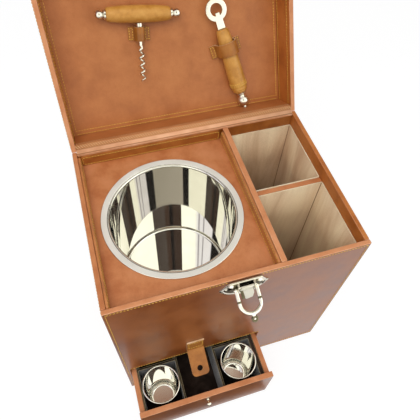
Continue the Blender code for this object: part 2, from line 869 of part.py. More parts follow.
def build_lever(turn):
    """The tongue that points out of the housing, with its barrel round the pin."""
    half = LEVER_THICKNESS / 2
    start = pi + asin(half / LEVER_BARREL_RADIUS)
    end = 3 * pi - asin(half / LEVER_BARREL_RADIUS)
    outline = arc(0, 0, LEVER_BARREL_RADIUS, start, end, 12)
    outline += arc(-LEVER_REACH + half, 0, half, pi / 2, 3 * pi / 2, 4)
    hole = circle(0, 0, PIN_RADIUS + PIN_CLEARANCE, SMALL_ROUND_STEPS)
    width = 2 * (HOUSING_HALF_WIDTH - HOUSING_CHEEK - LEVER_SIDE_GAP)
    lever = sheet(
        [outline, hole], width, (0, PIN_FRONT, PIN_HEIGHT), (pi / 2, 0, pi / 2)
    )
    keep(lever, "latch_lever", nickel, 0.25, 1.0)
    hang(lever, turn)


def build_bail(turn):
    """The U-shaped bail, with an eye at each end and a finger tab at the bend."""
    bend = BAIL_REACH - BAIL_HALF_WIDTH
    path = [(-BAIL_HALF_WIDTH, 0, 0), (-BAIL_HALF_WIDTH, -bend / 2, 0)]
    for x, y in arc(0, -bend, BAIL_HALF_WIDTH, pi, tau, 12):
        path.append((x, y, 0))
    path += [(BAIL_HALF_WIDTH, -bend / 2, 0), (BAIL_HALF_WIDTH, 0, 0)]
    bail = tube(path, BAIL_WIRE_RADIUS)
    bail.location = (0, PIN_FRONT, PIN_HEIGHT)
    keep(bail, "latch_bail", nickel, 0.15, 1.0)

    joined = []
    for side_name, side in (("left", -1), ("right", 1)):
        eye = rod(
            BAIL_EYE_RADIUS,
            2 * BAIL_WIRE_RADIUS - TRIM_EDGE / 2,
            (side * BAIL_HALF_WIDTH, PIN_FRONT, PIN_HEIGHT),
            "X",
            SMALL_ROUND_STEPS,
        )
        joined.append(combine(bail, eye, side_name + "_eye", "UNION"))
    neck_start = BAIL_REACH
    neck = rod(
        BAIL_NECK_RADIUS,
        BAIL_TAB_REACH - neck_start,
        (0, PIN_FRONT - (neck_start + BAIL_TAB_REACH) / 2, PIN_HEIGHT),
        "Y",
        SMALL_ROUND_STEPS,
    )
    joined.append(combine(bail, neck, "tab_neck", "UNION"))
    tab = rod(
        BAIL_TAB_RADIUS,
        BAIL_TAB_THICKNESS,
        (0, PIN_FRONT - BAIL_TAB_REACH, PIN_HEIGHT),
        "Z",
        SMALL_ROUND_STEPS,
    )
    joined.append(combine(bail, tab, "finger_tab", "UNION"))
    hole = rod(
        PIN_RADIUS + PIN_CLEARANCE,
        2 * (BAIL_HALF_WIDTH + BAIL_EYE_RADIUS + OVERRUN),
        (0, PIN_FRONT, PIN_HEIGHT),
        "X",
        SMALL_ROUND_STEPS,
    )
    joined.append(combine(bail, hole, "eye_holes"))
    hang(bail, turn)
    for piece in joined:
        hang(piece, turn)


# Lid


def build_lid():
    lid = joint("lid_hinge", (0, HALF_DEPTH, CASE_HEIGHT))
    wall_top = LID_TOP - WALL - SEAT

    top = block(
        (-HALF_WIDTH, -HALF_DEPTH, LID_TOP - WALL), (HALF_WIDTH, HALF_DEPTH, LID_TOP), BOARD_EDGE
    )
    keep(top, "lid_top_board", tan_leather)
    hang(top, lid)

    front = block(
        (-HALF_WIDTH, -HALF_DEPTH, LID_RIM), (HALF_WIDTH, -INNER_END, wall_top), BOARD_EDGE
    )
    keep(front, "lid_front_wall", glossy_leather, 0.25)
    hang(front, lid)

    back = block(
        (-INNER_SIDE + SEAT, INNER_END, LID_RIM + GUSSET + SEAT),
        (INNER_SIDE - SEAT, HALF_DEPTH, wall_top),
        BOARD_EDGE,
    )
    keep(back, "lid_back_wall", tan_leather)
    hang(back, lid)

    for name, side in (("lid_left_wall", -1), ("lid_right_wall", 1)):
        edges = sorted((side * INNER_SIDE, side * HALF_WIDTH))
        wall = block(
            (edges[0], -INNER_END + SEAT, LID_RIM), (edges[1], HALF_DEPTH, wall_top), BOARD_EDGE
        )
        keep(wall, name, tan_leather)
        hang(wall, lid)

    side = INNER_SIDE - SEAT
    ends = INNER_END - SEAT
    lining = block((-side, -ends, LID_INSIDE), (side, ends, LID_INSIDE + LINING), TRIM_EDGE)
    keep(lining, "lid_lining", tan_leather)
    hang(lining, lid)

    strip = block(
        (-side, ends - STRIP, LID_RIM + STRIP_DROP),
        (side, ends, LID_INSIDE - SEAT),
        TRIM_EDGE,
    )
    keep(strip, "lid_back_strip", tan_leather)
    hang(strip, lid)

    build_gusset("lid_gusset", LID_RIM + GUSSET / 2, lid)
    build_catch(lid)
    build_corkscrew(lid)
    build_opener(lid)
    build_handle(lid)
    lid.rotation_euler.x = -LID_OPEN_ANGLE


def build_catch(lid):
    """The hooked plate on the lid's front that the bail's end drops over."""
    face = -HALF_DEPTH - SEAT
    bottom = LID_RIM + CATCH_BOTTOM_RISE
    plate = block(
        (-CATCH_HALF_WIDTH, face - CATCH_PLATE, bottom),
        (CATCH_HALF_WIDTH, face, bottom + CATCH_HEIGHT),
        TRIM_EDGE,
    )
    keep(plate, "lid_catch", nickel, 0.2, 1.0)
    bail_inside = PIN_HEIGHT + BAIL_REACH - BAIL_WIRE_RADIUS
    hook_top = bail_inside - HOOK_CLEARANCE
    hook = block(
        (-HOOK_HALF_WIDTH, -HALF_DEPTH - HOOK_REACH, hook_top - HOOK_THICKNESS),
        (HOOK_HALF_WIDTH, face - CATCH_PLATE / 2, hook_top),
    )
    combine(plate, hook, "catch_hook", "UNION")
    hang(plate, lid)
    hang(hook, lid)


def loop_outline(radius, drop):
    """A leather loop round a tool: two sewn feet and a round belly, hanging down by drop."""
    inner = radius + LOOP_CLEARANCE
    outer = inner + LOOP_THICKNESS
    foot = outer + LOOP_FOOT
    points = [(-foot, 0), (-foot, -LOOP_THICKNESS), (-outer, -LOOP_THICKNESS)]
    points += arc(0, -drop, outer, pi, tau, 12)
    points += [(outer, -LOOP_THICKNESS), (foot, -LOOP_THICKNESS), (foot, 0), (inner, 0)]
    points += arc(0, -drop, inner, tau, pi, 12)
    points.append((-inner, 0))
    return points


def build_corkscrew(lid):
    """A helical worm under a leather-wrapped cross grip, held by a loop on its shank."""
    worm_length = WORM_LEAD + WORM_TURNS * WORM_PITCH
    reach = worm_length + SHANK_LENGTH + GRIP_RADIUS + SEAT
    side = CORKSCREW_TIP_SIDE + sin(CORKSCREW_TILT) * reach
    along = CORKSCREW_TIP_ALONG + cos(CORKSCREW_TILT) * reach
    height = LID_INSIDE - SEAT - GRIP_RADIUS
    place = (side, HALF_DEPTH - along, height)
    slide = joint("corkscrew_slide", place, lid)

    grip_half = GRIP_LENGTH / 2
    profile = [(0, grip_half), (GRIP_END_RADIUS, grip_half)]
    profile += [(GRIP_RADIUS, grip_half / 2), (GRIP_RADIUS, -grip_half / 2)]
    profile += [(GRIP_END_RADIUS, -grip_half), (0, -grip_half)]
    grip = turned(profile, place)
    grip.rotation_euler = (0, pi / 2, 0)
    keep(grip, "corkscrew_grip", golden_leather, 0.45)
    hang(grip, slide)

    for name, direction in (("corkscrew_cap_left", -1), ("corkscrew_cap_right", 1)):
        ball = CAP_COLLAR + CAP_BALL_RADIUS * cos(pi / 6)
        profile = [(0, ball + CAP_BALL_RADIUS)]
        profile += arc(0, ball, CAP_BALL_RADIUS, 3 * pi / 8, -pi / 3, 6)
        profile += [(CAP_COLLAR_RADIUS, CAP_COLLAR), (CAP_COLLAR_RADIUS, 0), (0, 0)]
        cap_place = (side + direction * (grip_half + SEAT), place[1], place[2])
        cap = turned(profile, cap_place, SMALL_ROUND_STEPS)
        cap.rotation_euler = (0, direction * pi / 2, 0)
        keep(cap, name, steel, 0.15, 1.0)
        hang(cap, slide)

    path, radii = worm_path()
    worm = tube(path, WORM_WIRE_RADIUS, 1, radii)
    worm.location = place
    keep(smooth(worm), "corkscrew_worm", steel, 0.15, 1.0)
    hang(worm, slide)
    gap_mm = least_gap(path, radii) * 1000
    print("least gap of the corkscrew worm to itself, mm:", round(gap_mm, 2))

    drop = LID_INSIDE - SEAT - height
    start = GRIP_RADIUS + SEAT + SHANK_COLLAR + SHANK_LOOP_GAP
    middle = start + LOOP_WIDTH / 2
    worm_outer = WORM_RADIUS + WORM_WIRE_RADIUS
    loop_place = (
        side - sin(CORKSCREW_TILT) * middle,
        place[1] + cos(CORKSCREW_TILT) * middle,
        LID_INSIDE - SEAT,
    )
    loop = sheet(
        [loop_outline(worm_outer, drop)], LOOP_WIDTH, loop_place, (pi / 2, 0, CORKSCREW_TILT)
    )
    keep(loop, "corkscrew_loop", golden_leather, 0.4)
    hang(loop, lid)
    slide.rotation_euler.z = CORKSCREW_TILT


def worm_path():
    """The centre line of shank and worm along +Y from the grip, and its radii."""
    start = GRIP_RADIUS + SEAT
    collar_end = start + SHANK_COLLAR
    shank_end = start + SHANK_LENGTH
    path = [(0, start, 0), (0, collar_end, 0), (0, collar_end + TRIM_EDGE, 0), (0, shank_end, 0)]
    radii = [SHANK_COLLAR_RADIUS, SHANK_COLLAR_RADIUS, SHANK_RADIUS, SHANK_RADIUS]
    count = WORM_TURNS * WORM_POINTS_A_TURN
    for i in range(1, count + 1):
        turn = i / WORM_POINTS_A_TURN
        swell = min(1, turn)
        angle = tau * turn
        path.append(
            (
                swell * WORM_RADIUS * sin(angle),
                shank_end + WORM_LEAD + turn * WORM_PITCH,
                swell * WORM_RADIUS * cos(angle),
            )
        )
        taper = min(1, (count - i + 1) / WORM_POINTS_A_TURN)
        blend = max(0, 1 - turn)
        full = WORM_WIRE_RADIUS + blend * (SHANK_RADIUS - WORM_WIRE_RADIUS)
        radii.append(full * max(taper, 1 / WORM_POINTS_A_TURN))
    return path, radii


def least_gap(path, radii):
    """The least distance between stretches of a wire a half turn or more apart."""
    least = CASE_WIDTH
    apart = WORM_POINTS_A_TURN // 2
    first_turn = len(path) - (WORM_TURNS - 1) * WORM_POINTS_A_TURN
    for i in range(first_turn, len(path)):
        for k in range(i + apart, len(path)):
            distance = (Vector(path[i]) - Vector(path[k])).length
            least = min(least, distance - radii[i] - radii[k])
    return least


def build_opener(lid):
    """A bottle opener with a leather-wrapped grip, held by a loop round the grip."""
    grip_start = FINIAL_BALL_RADIUS + FINIAL_COLLAR
    height = LID_INSIDE - SEAT - OPENER_RADIUS
    place = (OPENER_BALL_SIDE, HALF_DEPTH - OPENER_BALL_ALONG, height)
    slide = joint("opener_slide", place, lid)

    profile = [(0, FINIAL_TIP_REACH), (FINIAL_TIP_RADIUS / 2, FINIAL_TIP_REACH)]
    profile += [(FINIAL_TIP_RADIUS, FINIAL_TIP_REACH - FINIAL_TIP_RADIUS / 2)]
    profile += arc(
        0,
        0,
        FINIAL_BALL_RADIUS,
        pi / 2 - FINIAL_TIP_RADIUS / FINIAL_BALL_RADIUS,
        -pi / 2 + FINIAL_COLLAR_RADIUS / FINIAL_BALL_RADIUS,
        7,
    )
    profile += [(FINIAL_COLLAR_RADIUS, -FINIAL_BALL_RADIUS), (FINIAL_COLLAR_RADIUS, -grip_start)]
    profile += [(0, -grip_start)]
    finial = turned(profile, place, SMALL_ROUND_STEPS)
    finial.rotation_euler = (-pi / 2, 0, 0)
    keep(finial, "opener_finial", steel, 0.1, 1.0)
    hang(finial, slide)

    low = grip_start + SEAT
    high = low + OPENER_GRIP_LENGTH
    profile = [(0, -low), (OPENER_NECK_RADIUS, -low)]
    profile += [(OPENER_RADIUS, -low - OPENER_SHOULDER), (OPENER_RADIUS, -high + OPENER_SHOULDER)]
    profile += [(OPENER_NECK_RADIUS, -high), (0, -high)]
    grip = turned(profile, place)
    grip.rotation_euler = (-pi / 2, 0, 0)
    keep(grip, "opener_grip", golden_leather, 0.45)
    hang(grip, slide)

    foot = -high - SEAT
    centre = foot - OPENER_HEAD_REACH
    neck_angle = OPENER_HEAD_NECK / OPENER_HEAD_RADIUS
    outline = [(-OPENER_HEAD_NECK, foot), (OPENER_HEAD_NECK, foot)]
    outline += arc(
        0, centre, OPENER_HEAD_RADIUS, pi / 2 - neck_angle, -3 * pi / 2 + neck_angle, 16
    )
    mouth = mouth_outline(centre)
    head = sheet([outline, mouth], OPENER_HEAD_THICKNESS, place)
    keep(head, "opener_head", steel, 0.15, 1.0)
    hang(head, slide)

    middle = OPENER_LOOP_ALONG - OPENER_BALL_ALONG
    loop_place = (
        OPENER_BALL_SIDE - sin(OPENER_TILT) * middle,
        HALF_DEPTH - OPENER_BALL_ALONG - cos(OPENER_TILT) * middle,
        LID_INSIDE - SEAT,
    )
    drop = LID_INSIDE - SEAT - height
    loop = sheet(
        [loop_outline(OPENER_RADIUS, drop)], LOOP_WIDTH, loop_place, (pi / 2, 0, -OPENER_TILT)
    )
    keep(loop, "opener_loop", golden_leather, 0.4)
    hang(loop, lid)
    slide.rotation_euler.z = -OPENER_TILT


def mouth_outline(centre):
    """The opener's mouth: a round hole with a tongue that lifts the cap."""
    half = OPENER_TONGUE_HALF_WIDTH
    angle = half / OPENER_MOUTH_RADIUS
    points = arc(0, centre, OPENER_MOUTH_RADIUS, pi / 2 + angle, 5 * pi / 2 - angle, 14)
    points += [
        (half, centre + OPENER_MOUTH_RADIUS - OPENER_TONGUE),
        (-half, centre + OPENER_MOUTH_RADIUS - OPENER_TONGUE),
    ]
    return points


def build_handle(lid):
    """A wire bail with a leather grip, hinged in two mounts on the lid's top."""
    plate_low = LID_TOP + SEAT
    plate_high = plate_low + HANDLE_PLATE
    for name, side in (("handle_mount_left", -1), ("handle_mount_right", 1)):
        x = side * HANDLE_SPREAD
        mount = block(
            (x - HANDLE_PLATE_HALF_WIDTH, -HANDLE_PLATE_HALF_LENGTH, plate_low),
            (x + HANDLE_PLATE_HALF_WIDTH, HANDLE_PLATE_HALF_LENGTH, plate_high),
            TRIM_EDGE,
        )
        keep(mount, name, nickel, 0.2, 1.0)
        post_low = plate_low + HANDLE_PLATE / 2
        half = HANDLE_LUG_RADIUS
        outline = [(half, post_low), (half, HANDLE_PIN_HEIGHT)]
        outline += arc(0, HANDLE_PIN_HEIGHT, half, 0, pi, 8)[1:-1]
        outline += [(-half, HANDLE_PIN_HEIGHT), (-half, post_low)]
        lug = sheet([outline], HANDLE_MOUNT_WIDTH, (x, 0, 0), (pi / 2, 0, pi / 2))
        hole = rod(
            HANDLE_WIRE_RADIUS + PIN_CLEARANCE,
            HANDLE_MOUNT_WIDTH + 2 * OVERRUN,
            (x, 0, HANDLE_PIN_HEIGHT),
            "X",
            SMALL_ROUND_STEPS,
        )
        combine(mount, lug, name + "_lug", "UNION")
        combine(mount, hole, name + "_hole")
        hang(mount, lid)
        hang(lug, lid)
        hang(hole, lid)

    turn = joint("handle_turn", (0, 0, HANDLE_PIN_HEIGHT), lid)
    reach = HANDLE_REACH
    lug_half = HANDLE_MOUNT_WIDTH / 2
    outside = HANDLE_SPREAD + lug_half + HANDLE_STUB + HANDLE_WIRE_RADIUS
    inside = HANDLE_SPREAD - lug_half - HANDLE_STUB
    corner = HANDLE_CORNER
    small = HANDLE_STUB
    right = [(inside, 0), (HANDLE_SPREAD, 0)]
    right += arc(outside - small, small, small, -pi / 2, 0, 3)
    right += arc(outside - corner, reach - corner, corner, 0, pi / 2, 5)
    path = [(x, y, 0) for x, y in right]
    path += [(-x, y, 0) for x, y in reversed(right)]
    wire = tube(path, HANDLE_WIRE_RADIUS)
    wire.location = (0, 0, HANDLE_PIN_HEIGHT)
    keep(smooth(wire), "handle_bail", nickel, 0.2, 1.0)
    hang(wire, turn)

    bore = HANDLE_WIRE_RADIUS + SEAT
    half = HANDLE_GRIP_HALF_LENGTH
    profile = [
        (bore, half),
        (HANDLE_GRIP_END_RADIUS, half),
        (HANDLE_GRIP_RADIUS, half - HANDLE_GRIP_RADIUS),
        (HANDLE_GRIP_RADIUS, -half + HANDLE_GRIP_RADIUS),
        (HANDLE_GRIP_END_RADIUS, -half),
        (bore, -half),
    ]
    grip = turned(profile, (0, reach, HANDLE_PIN_HEIGHT), SMALL_ROUND_STEPS, closed=True)
    grip.rotation_euler = (0, pi / 2, 0)
    keep(grip, "handle_grip", dark_leather, 0.4)
    hang(grip, turn)
    turn.rotation_euler.x = HANDLE_HANG_ANGLE


build_body()
build_dividers()
build_bay()
build_gusset("body_gusset", RIM - GUSSET / 2)
build_bucket()
build_drawer()
build_strap()
build_latch()
build_lid()
bpy.context.view_layer.update()
print("pieces:", sum(1 for piece in parts.objects if piece.type == "MESH"))
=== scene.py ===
import random
from math import cos, pi, radians, sin, tan, tau

import bmesh
import bpy
from mathutils import Matrix, Vector


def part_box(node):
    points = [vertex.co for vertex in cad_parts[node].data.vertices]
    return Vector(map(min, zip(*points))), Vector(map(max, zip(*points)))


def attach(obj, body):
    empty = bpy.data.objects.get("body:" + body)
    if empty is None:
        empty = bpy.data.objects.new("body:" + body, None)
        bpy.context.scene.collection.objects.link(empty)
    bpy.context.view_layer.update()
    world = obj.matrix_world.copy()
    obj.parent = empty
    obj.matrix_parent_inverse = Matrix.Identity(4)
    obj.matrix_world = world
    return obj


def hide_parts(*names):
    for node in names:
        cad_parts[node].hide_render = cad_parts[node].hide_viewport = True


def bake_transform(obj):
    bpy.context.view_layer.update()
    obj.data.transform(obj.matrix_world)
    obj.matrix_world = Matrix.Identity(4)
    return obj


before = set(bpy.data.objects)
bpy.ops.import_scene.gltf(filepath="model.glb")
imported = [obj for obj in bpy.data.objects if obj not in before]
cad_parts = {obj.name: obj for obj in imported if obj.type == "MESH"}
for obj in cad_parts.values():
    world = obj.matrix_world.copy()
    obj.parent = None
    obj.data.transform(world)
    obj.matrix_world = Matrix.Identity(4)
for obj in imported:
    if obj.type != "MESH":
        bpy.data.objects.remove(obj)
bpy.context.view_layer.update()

random.seed(11)

# A tan leather travel bar case, standing open on a pale studio floor.
# Metres, Z up, X to the right of the case. The lid's pieces are modelled on the closed
# case and are then turned back with lidPose, as the lid stands open.

lidTurn = 118.6  # degrees that the lid stands open
hinge = Vector((0, 0.119, 0.327))


def placed(place, degrees=0, axis="X"):  # turns a shape about one axis, then moves it to its place
    return Matrix.Translation(place) @ Matrix.Rotation(radians(degrees), 4, axis)


lidPose = placed(hinge, -lidTurn) @ Matrix.Translation(-hinge)


# Colours and nodes

def fromHex(colour):  # sRGB hex to the linear values that Blender mixes
    parts = [int(colour[i:i + 2], 16) / 255 for i in (1, 3, 5)]
    linear = [p / 12.92 if p <= 0.04045 else ((p + 0.055) / 1.055) ** 2.4 for p in parts]
    return (*linear, 1.0)


def setNode(tree, node, settings=None, values=None, links=None):
    for key, value in (settings or {}).items():
        setattr(node, key, value)
    for key, value in (values or {}).items():
        node.inputs[key].default_value = value
    for key, source in (links or {}).items():
        tree.links.new(source, node.inputs[key])
    return node


def addNode(tree, kind, settings=None, values=None, links=None):
    return setNode(tree, tree.nodes.new("ShaderNode" + kind), settings, values, links)


def setRamp(made, stops):
    elements = made.color_ramp.elements
    while len(elements) < len(stops):
        elements.new(0.5)
    for element, (position, colour) in zip(elements, stops):
        element.position = position
        element.color = fromHex(colour)


def startMaterial(name):
    material = bpy.data.materials.new(name)
    material.use_nodes = True
    tree = material.node_tree
    return material, tree, tree.nodes["Principled BSDF"], addNode(tree, "TexCoord").outputs["Object"]


# Materials

noiseMiddle = {"From Min": 0.3, "From Max": 0.7}  # nearly all of a noise lies between these
multiply = {"data_type": "RGBA", "blend_type": "MULTIPLY"}
# What all hides share, unless a hide's own look says otherwise. Sizes are in metres
hideLook = dict(
    grain=0.0016, speck=0.0011, speckle=0.04, rough=0.42, pebble=0.2, coat=0.0, coatRough=0.2,
    stops=(0.36, 0.5, 0.66), glossier=0.06, duller=0.07, relief=0.0004, fineRelief=0.0003, fineShare=0.7,
    waveRelief=0.004,
)


def hide(name, **changes):
    # Cattle hide: broad tone patches from the tanning, pores, a fine pebble and a waxed top
    look = {**hideLook, **changes}
    material, tree, shader, place = startMaterial(name)
    patches = addNode(
        tree, "TexNoise", values={"Scale": 1 / look["patch"], "Detail": 6.0, "Roughness": 0.62}, links={"Vector": place}
    ).outputs["Fac"]
    tone = addNode(tree, "ValToRGB", links={"Fac": patches})
    setRamp(tone, list(zip(look["stops"], look["tones"])))
    grain = addNode(tree, "TexVoronoi", values={"Scale": 1 / look["grain"]}, links={"Vector": place})
    speck = addNode(
        tree, "TexNoise", values={"Scale": 1 / look["speck"], "Detail": 3.0, "Roughness": 0.7}, links={"Vector": place}
    ).outputs["Fac"]
    low, high = 1 - look["speckle"], 1 + look["speckle"]
    shade = addNode(tree, "MapRange", values={**noiseMiddle, "To Min": low, "To Max": high}, links={"Value": speck})
    colour = addNode(tree, "Mix", multiply, {0: 1.0}, {6: tone.outputs["Color"], 7: shade.outputs["Result"]})
    low, high = look["rough"] - look["glossier"], look["rough"] + look["duller"]
    gloss = addNode(tree, "MapRange", values={**noiseMiddle, "To Min": low, "To Max": high}, links={"Value": patches})
    pebble = addNode(
        tree, "Bump", values={"Strength": look["pebble"], "Distance": look["relief"]},
        links={"Height": grain.outputs["Distance"]},
    )
    last = addNode(
        tree, "Bump", values={"Strength": look["pebble"] * look["fineShare"], "Distance": look["fineRelief"]},
        links={"Height": speck, "Normal": pebble.outputs["Normal"]},
    )
    if "wave" in look:  # the hide is pulled over the board and dries in faint upright waves
        waves = addNode(tree, "Mapping", values={"Scale": look["waveScale"]}, links={"Vector": place})
        swell = addNode(
            tree, "TexNoise", values={"Scale": 1.0, "Detail": 2.0}, links={"Vector": waves.outputs["Vector"]}
        )
        last = addNode(
            tree, "Bump", values={"Strength": look["wave"], "Distance": look["waveRelief"]},
            links={"Height": swell.outputs["Fac"], "Normal": last.outputs["Normal"]},
        )
    values = {"IOR": 1.5, "Coat Weight": look["coat"], "Coat Roughness": look["coatRough"]}
    links = {"Base Color": colour.outputs[2], "Roughness": gloss.outputs["Result"], "Normal": last.outputs["Normal"]}
    if look["coat"]:
        links["Coat Normal"] = last.outputs["Normal"]
    setNode(tree, shader, values=values, links=links)
    return material


suedeLook = dict(
    nap=0.0012, sheen=0.0, lean=(0, 0, 0), stops=(0.34, 0.5, 0.64), darker=0.86, paler=1.12, relief=0.0004,
    rough=0.95, sheenRough=0.5, specular=0.2,
)


def suede(name, **changes):
    # Split hide brushed to a nap: matt, with dark and pale strokes where it was rubbed
    look = {**suedeLook, **changes}
    material, tree, shader, place = startMaterial(name)
    strokes = addNode(
        tree, "Mapping", values={"Scale": look["strokes"], "Rotation": look["lean"]}, links={"Vector": place}
    )
    rubbed = addNode(
        tree, "TexNoise", values={"Scale": 1.0, "Detail": 4.0, "Roughness": 0.6, "Distortion": 0.4},
        links={"Vector": strokes.outputs["Vector"]},
    )
    tone = addNode(tree, "ValToRGB", links={"Fac": rubbed.outputs["Fac"]})
    setRamp(tone, list(zip(look["stops"], look["tones"])))
    nap = addNode(
        tree, "TexNoise", values={"Scale": 1 / look["nap"], "Detail": 3.0, "Roughness": 0.8}, links={"Vector": place}
    ).outputs["Fac"]
    low, high = look["darker"], look["paler"]
    shade = addNode(tree, "MapRange", values={**noiseMiddle, "To Min": low, "To Max": high}, links={"Value": nap})
    colour = addNode(tree, "Mix", multiply, {0: 1.0}, {6: tone.outputs["Color"], 7: shade.outputs["Result"]})
    rise = addNode(tree, "Bump", values={"Strength": 0.5, "Distance": look["relief"]}, links={"Height": nap})
    values = {
        "Roughness": look["rough"], "Sheen Weight": look["sheen"], "Sheen Roughness": look["sheenRough"],
        "Specular IOR Level": look["specular"],
    }
    setNode(tree, shader, values=values, links={"Base Color": colour.outputs[2], "Normal": rise.outputs["Normal"]})
    return material


metalLook = dict(metallic=1.0, stops=(0.35, 0.65), polished=0.7, dulled=1.4, relief=0.0005)


def metal(name, **changes):
    # Polished metal: almost a mirror, with faint wipe marks that change its roughness
    look = {**metalLook, **changes}
    material, tree, shader, place = startMaterial(name)
    wiped = addNode(
        tree, "TexNoise", values={"Scale": 1 / look["wipe"], "Detail": 4.0}, links={"Vector": place}
    ).outputs["Fac"]
    low, high = look["rough"] * look["polished"], look["rough"] * look["dulled"]
    gloss = addNode(tree, "MapRange", values={**noiseMiddle, "To Min": low, "To Max": high}, links={"Value": wiped})
    dents = addNode(
        tree, "Bump", values={"Strength": look["dent"], "Distance": look["relief"]}, links={"Height": wiped}
    )
    tint = addNode(tree, "ValToRGB", links={"Fac": wiped})
    setRamp(tint, list(zip(look["stops"], look["tones"])))
    setNode(tree, shader, values={"Metallic": look["metallic"]}, links={
        "Base Color": tint.outputs["Color"], "Roughness": gloss.outputs["Result"], "Normal": dents.outputs["Normal"],
    })
    return material


threadLook = dict(wax=0.0012, stops=(0.35, 0.62), plies=0.4, relief=0.0002, rough=0.5)


def thread(name, **changes):
    # Waxed linen thread: two plies, slightly glossy, darker where the wax gathers
    look = {**threadLook, **changes}
    material, tree, shader, place = startMaterial(name)
    wax = addNode(
        tree, "TexNoise", values={"Scale": 1 / look["wax"], "Detail": 3.0}, links={"Vector": place}
    ).outputs["Fac"]
    tone = addNode(tree, "ValToRGB", links={"Fac": wax})
    setRamp(tone, list(zip(look["stops"], look["tones"])))
    plies = addNode(tree, "Bump", values={"Strength": look["plies"], "Distance": look["relief"]}, links={"Height": wax})
    links = {"Base Color": tone.outputs["Color"], "Normal": plies.outputs["Normal"]}
    setNode(tree, shader, values={"Roughness": look["rough"]}, links=links)
    return material


# Tones run from the darkest to the palest
# Tan saddle hide on the inside panels: semi-matt, mottled over about 30 mm
saddle = dict(speckle=0.05, pebble=0.25)
liningHide = hide("tanSaddleHideLining", tones=("#A96533", "#B36E3B", "#BB7743"), patch=0.030, rough=0.46, **saddle)
trayHide = hide("tanSaddleHideTray", tones=("#B36B3D", "#C17B4B", "#CA8557"), patch=0.034, rough=0.44, **saddle)
# The same hide drawn round the outside, waxed and burnished to a soft shine
outerHide = hide(
    "tanSaddleHideOuter", tones=("#A46038", "#B36D42", "#BD784C"), patch=0.040, rough=0.36, pebble=0.18,
    coat=0.35, coatRough=0.22,
)
# The front has a hard polish that shows soft upright reflections; its browner, darker tone than the other hide is
# painted shade
shadedFrontHide = hide(
    "brownShadedFrontHide", tones=("#8A491E", "#9A5728", "#A66232"), patch=0.050, grain=0.0018, speck=0.0012,
    speckle=0.03, pebble=0.03, coat=0.36, coatRough=0.24, wave=0.10, waveScale=(40, 40, 5),
)
# Inside faces of the walls, in a slightly deeper brown
wallHide = hide("brownSaddleHideWall", tones=("#A96027", "#BA6F30", "#C47A3A"), patch=0.035, rough=0.5)
# Rims, where the hide turns over the board and is rubbed smooth and pale, and their palest edges, worn pale and also a
# painted highlight on the bevels that face up
rubbed = dict(grain=0.0018, speck=0.0012, speckle=0.03)
rimHide = hide("palerRimHide", tones=("#C17B4E", "#CC8759", "#D59366"), patch=0.030, pebble=0.12, **rubbed)
edgeWearAndHighlight = hide(
    "rubbedEdgeAndHighlightHide", tones=("#CC8C60", "#DFA47A", "#E9B68F"), patch=0.020, rough=0.45, pebble=0.1, **rubbed
)
# Narrow strips sewn round the well, in golden brown bridle hide with a fine grain
bridle = dict(patch=0.025, grain=0.0015, speck=0.0010)
stripHide = hide("goldenBrownBridleHide", tones=("#A4653A", "#B6733D", "#C27F4C"), **bridle)
# The darker copy is dark hide on the handle and welt, and painted shade on the back wall's inside, its strip and the
# hinge's crease
darkStripAndShadeHide = hide("darkBrownBridleAndShadeHide", tones=("#90501C", "#A25E24", "#AE692D"), **bridle)
# Soft thin goat hide of the hinge, pale and smooth; its paleness is partly a painted highlight on the hinge's round
gussetHideAndHighlight = hide(
    "paleGoatHideAndHighlight", tones=("#DCA177", "#E6AE84", "#EDB990"), patch=0.022, grain=0.0014, speck=0.0010,
    speckle=0.03, rough=0.45, pebble=0.15,
)
# Strap and loops, thick golden hide with a raw cut that shows its pale fibres
strapHide = hide(
    "goldenStrapHide", tones=("#8E551B", "#A26424", "#B07332"), patch=0.018, grain=0.0013, speck=0.0009,
    speckle=0.06, rough=0.45, pebble=0.25,
)
rawEdge = hide(
    "rawCutHide", tones=("#C49C70", "#D8B48A", "#E4C6A2"), patch=0.010, grain=0.0010, speck=0.0008,
    speckle=0.08, rough=0.8, pebble=0.3,
)
# Calf wrapped round the tool grips, smooth and golden
gripHide = hide(
    "goldenCalfWrap", tones=("#B87D31", "#C98F40", "#D39C4E"), patch=0.015, grain=0.0012, speck=0.0008, speckle=0.05
)
# Suede of the bottle compartments, brushed downwards, with its pale turned edge, and dark seams in its corners that are
# painted shade
bottleSuede = suede(
    "sandSuede", tones=("#C09F7E", "#D6BC99", "#E3CFAB"), strokes=(26, 26, 3.5), lean=(0.08, 0.2, 0), sheen=0.1
)
suedeTurn = suede("paleSuedeTurn", tones=("#D8C69E", "#E6D6B2", "#F0E4C6"), strokes=(40, 40, 40), sheen=0.2)
seamShadeSuede = suede("suedeSeamShadow", tones=("#82654D", "#937459", "#A08066"), strokes=(60, 60, 60))
# Cotton velvet of the cup cells: near black, with a grey bloom and olive piping at its edges
velvet = dict(nap=0.0010)
cellVelvet = suede(
    "darkCottonVelvet", tones=("#271C17", "#33261F", "#40322A"), strokes=(60, 60, 30), sheen=0.4, **velvet
)
cellPiping = suede(
    "oliveVelvetPiping", tones=("#776B4E", "#8C8060", "#A0946F"), strokes=(90, 90, 90), sheen=0.2, **velvet
)
# Stainless steel 18/8, mirror polished, with the faint haze that hands leave on it
bucketSteel = metal(
    "mirrorStainlessSteel", tones=("#E3E1DA", "#E8E6E0"), rough=0.03, wipe=0.05, dent=0.035, metallic=0.98
)
# The bucket's flange is bead blasted, so it scatters light almost like grey paper
flangeSteel = metal(
    "blastedStainlessSteel", tones=("#EAE9E0", "#EFEEE6"), rough=0.42, wipe=0.03, dent=0.01, metallic=0.4
)
# Tool steel, brushed to a soft gleam
toolSteel = metal("brushedToolSteel", tones=("#D6D2C8", "#E0DCD2"), rough=0.24, wipe=0.02, dent=0.05)
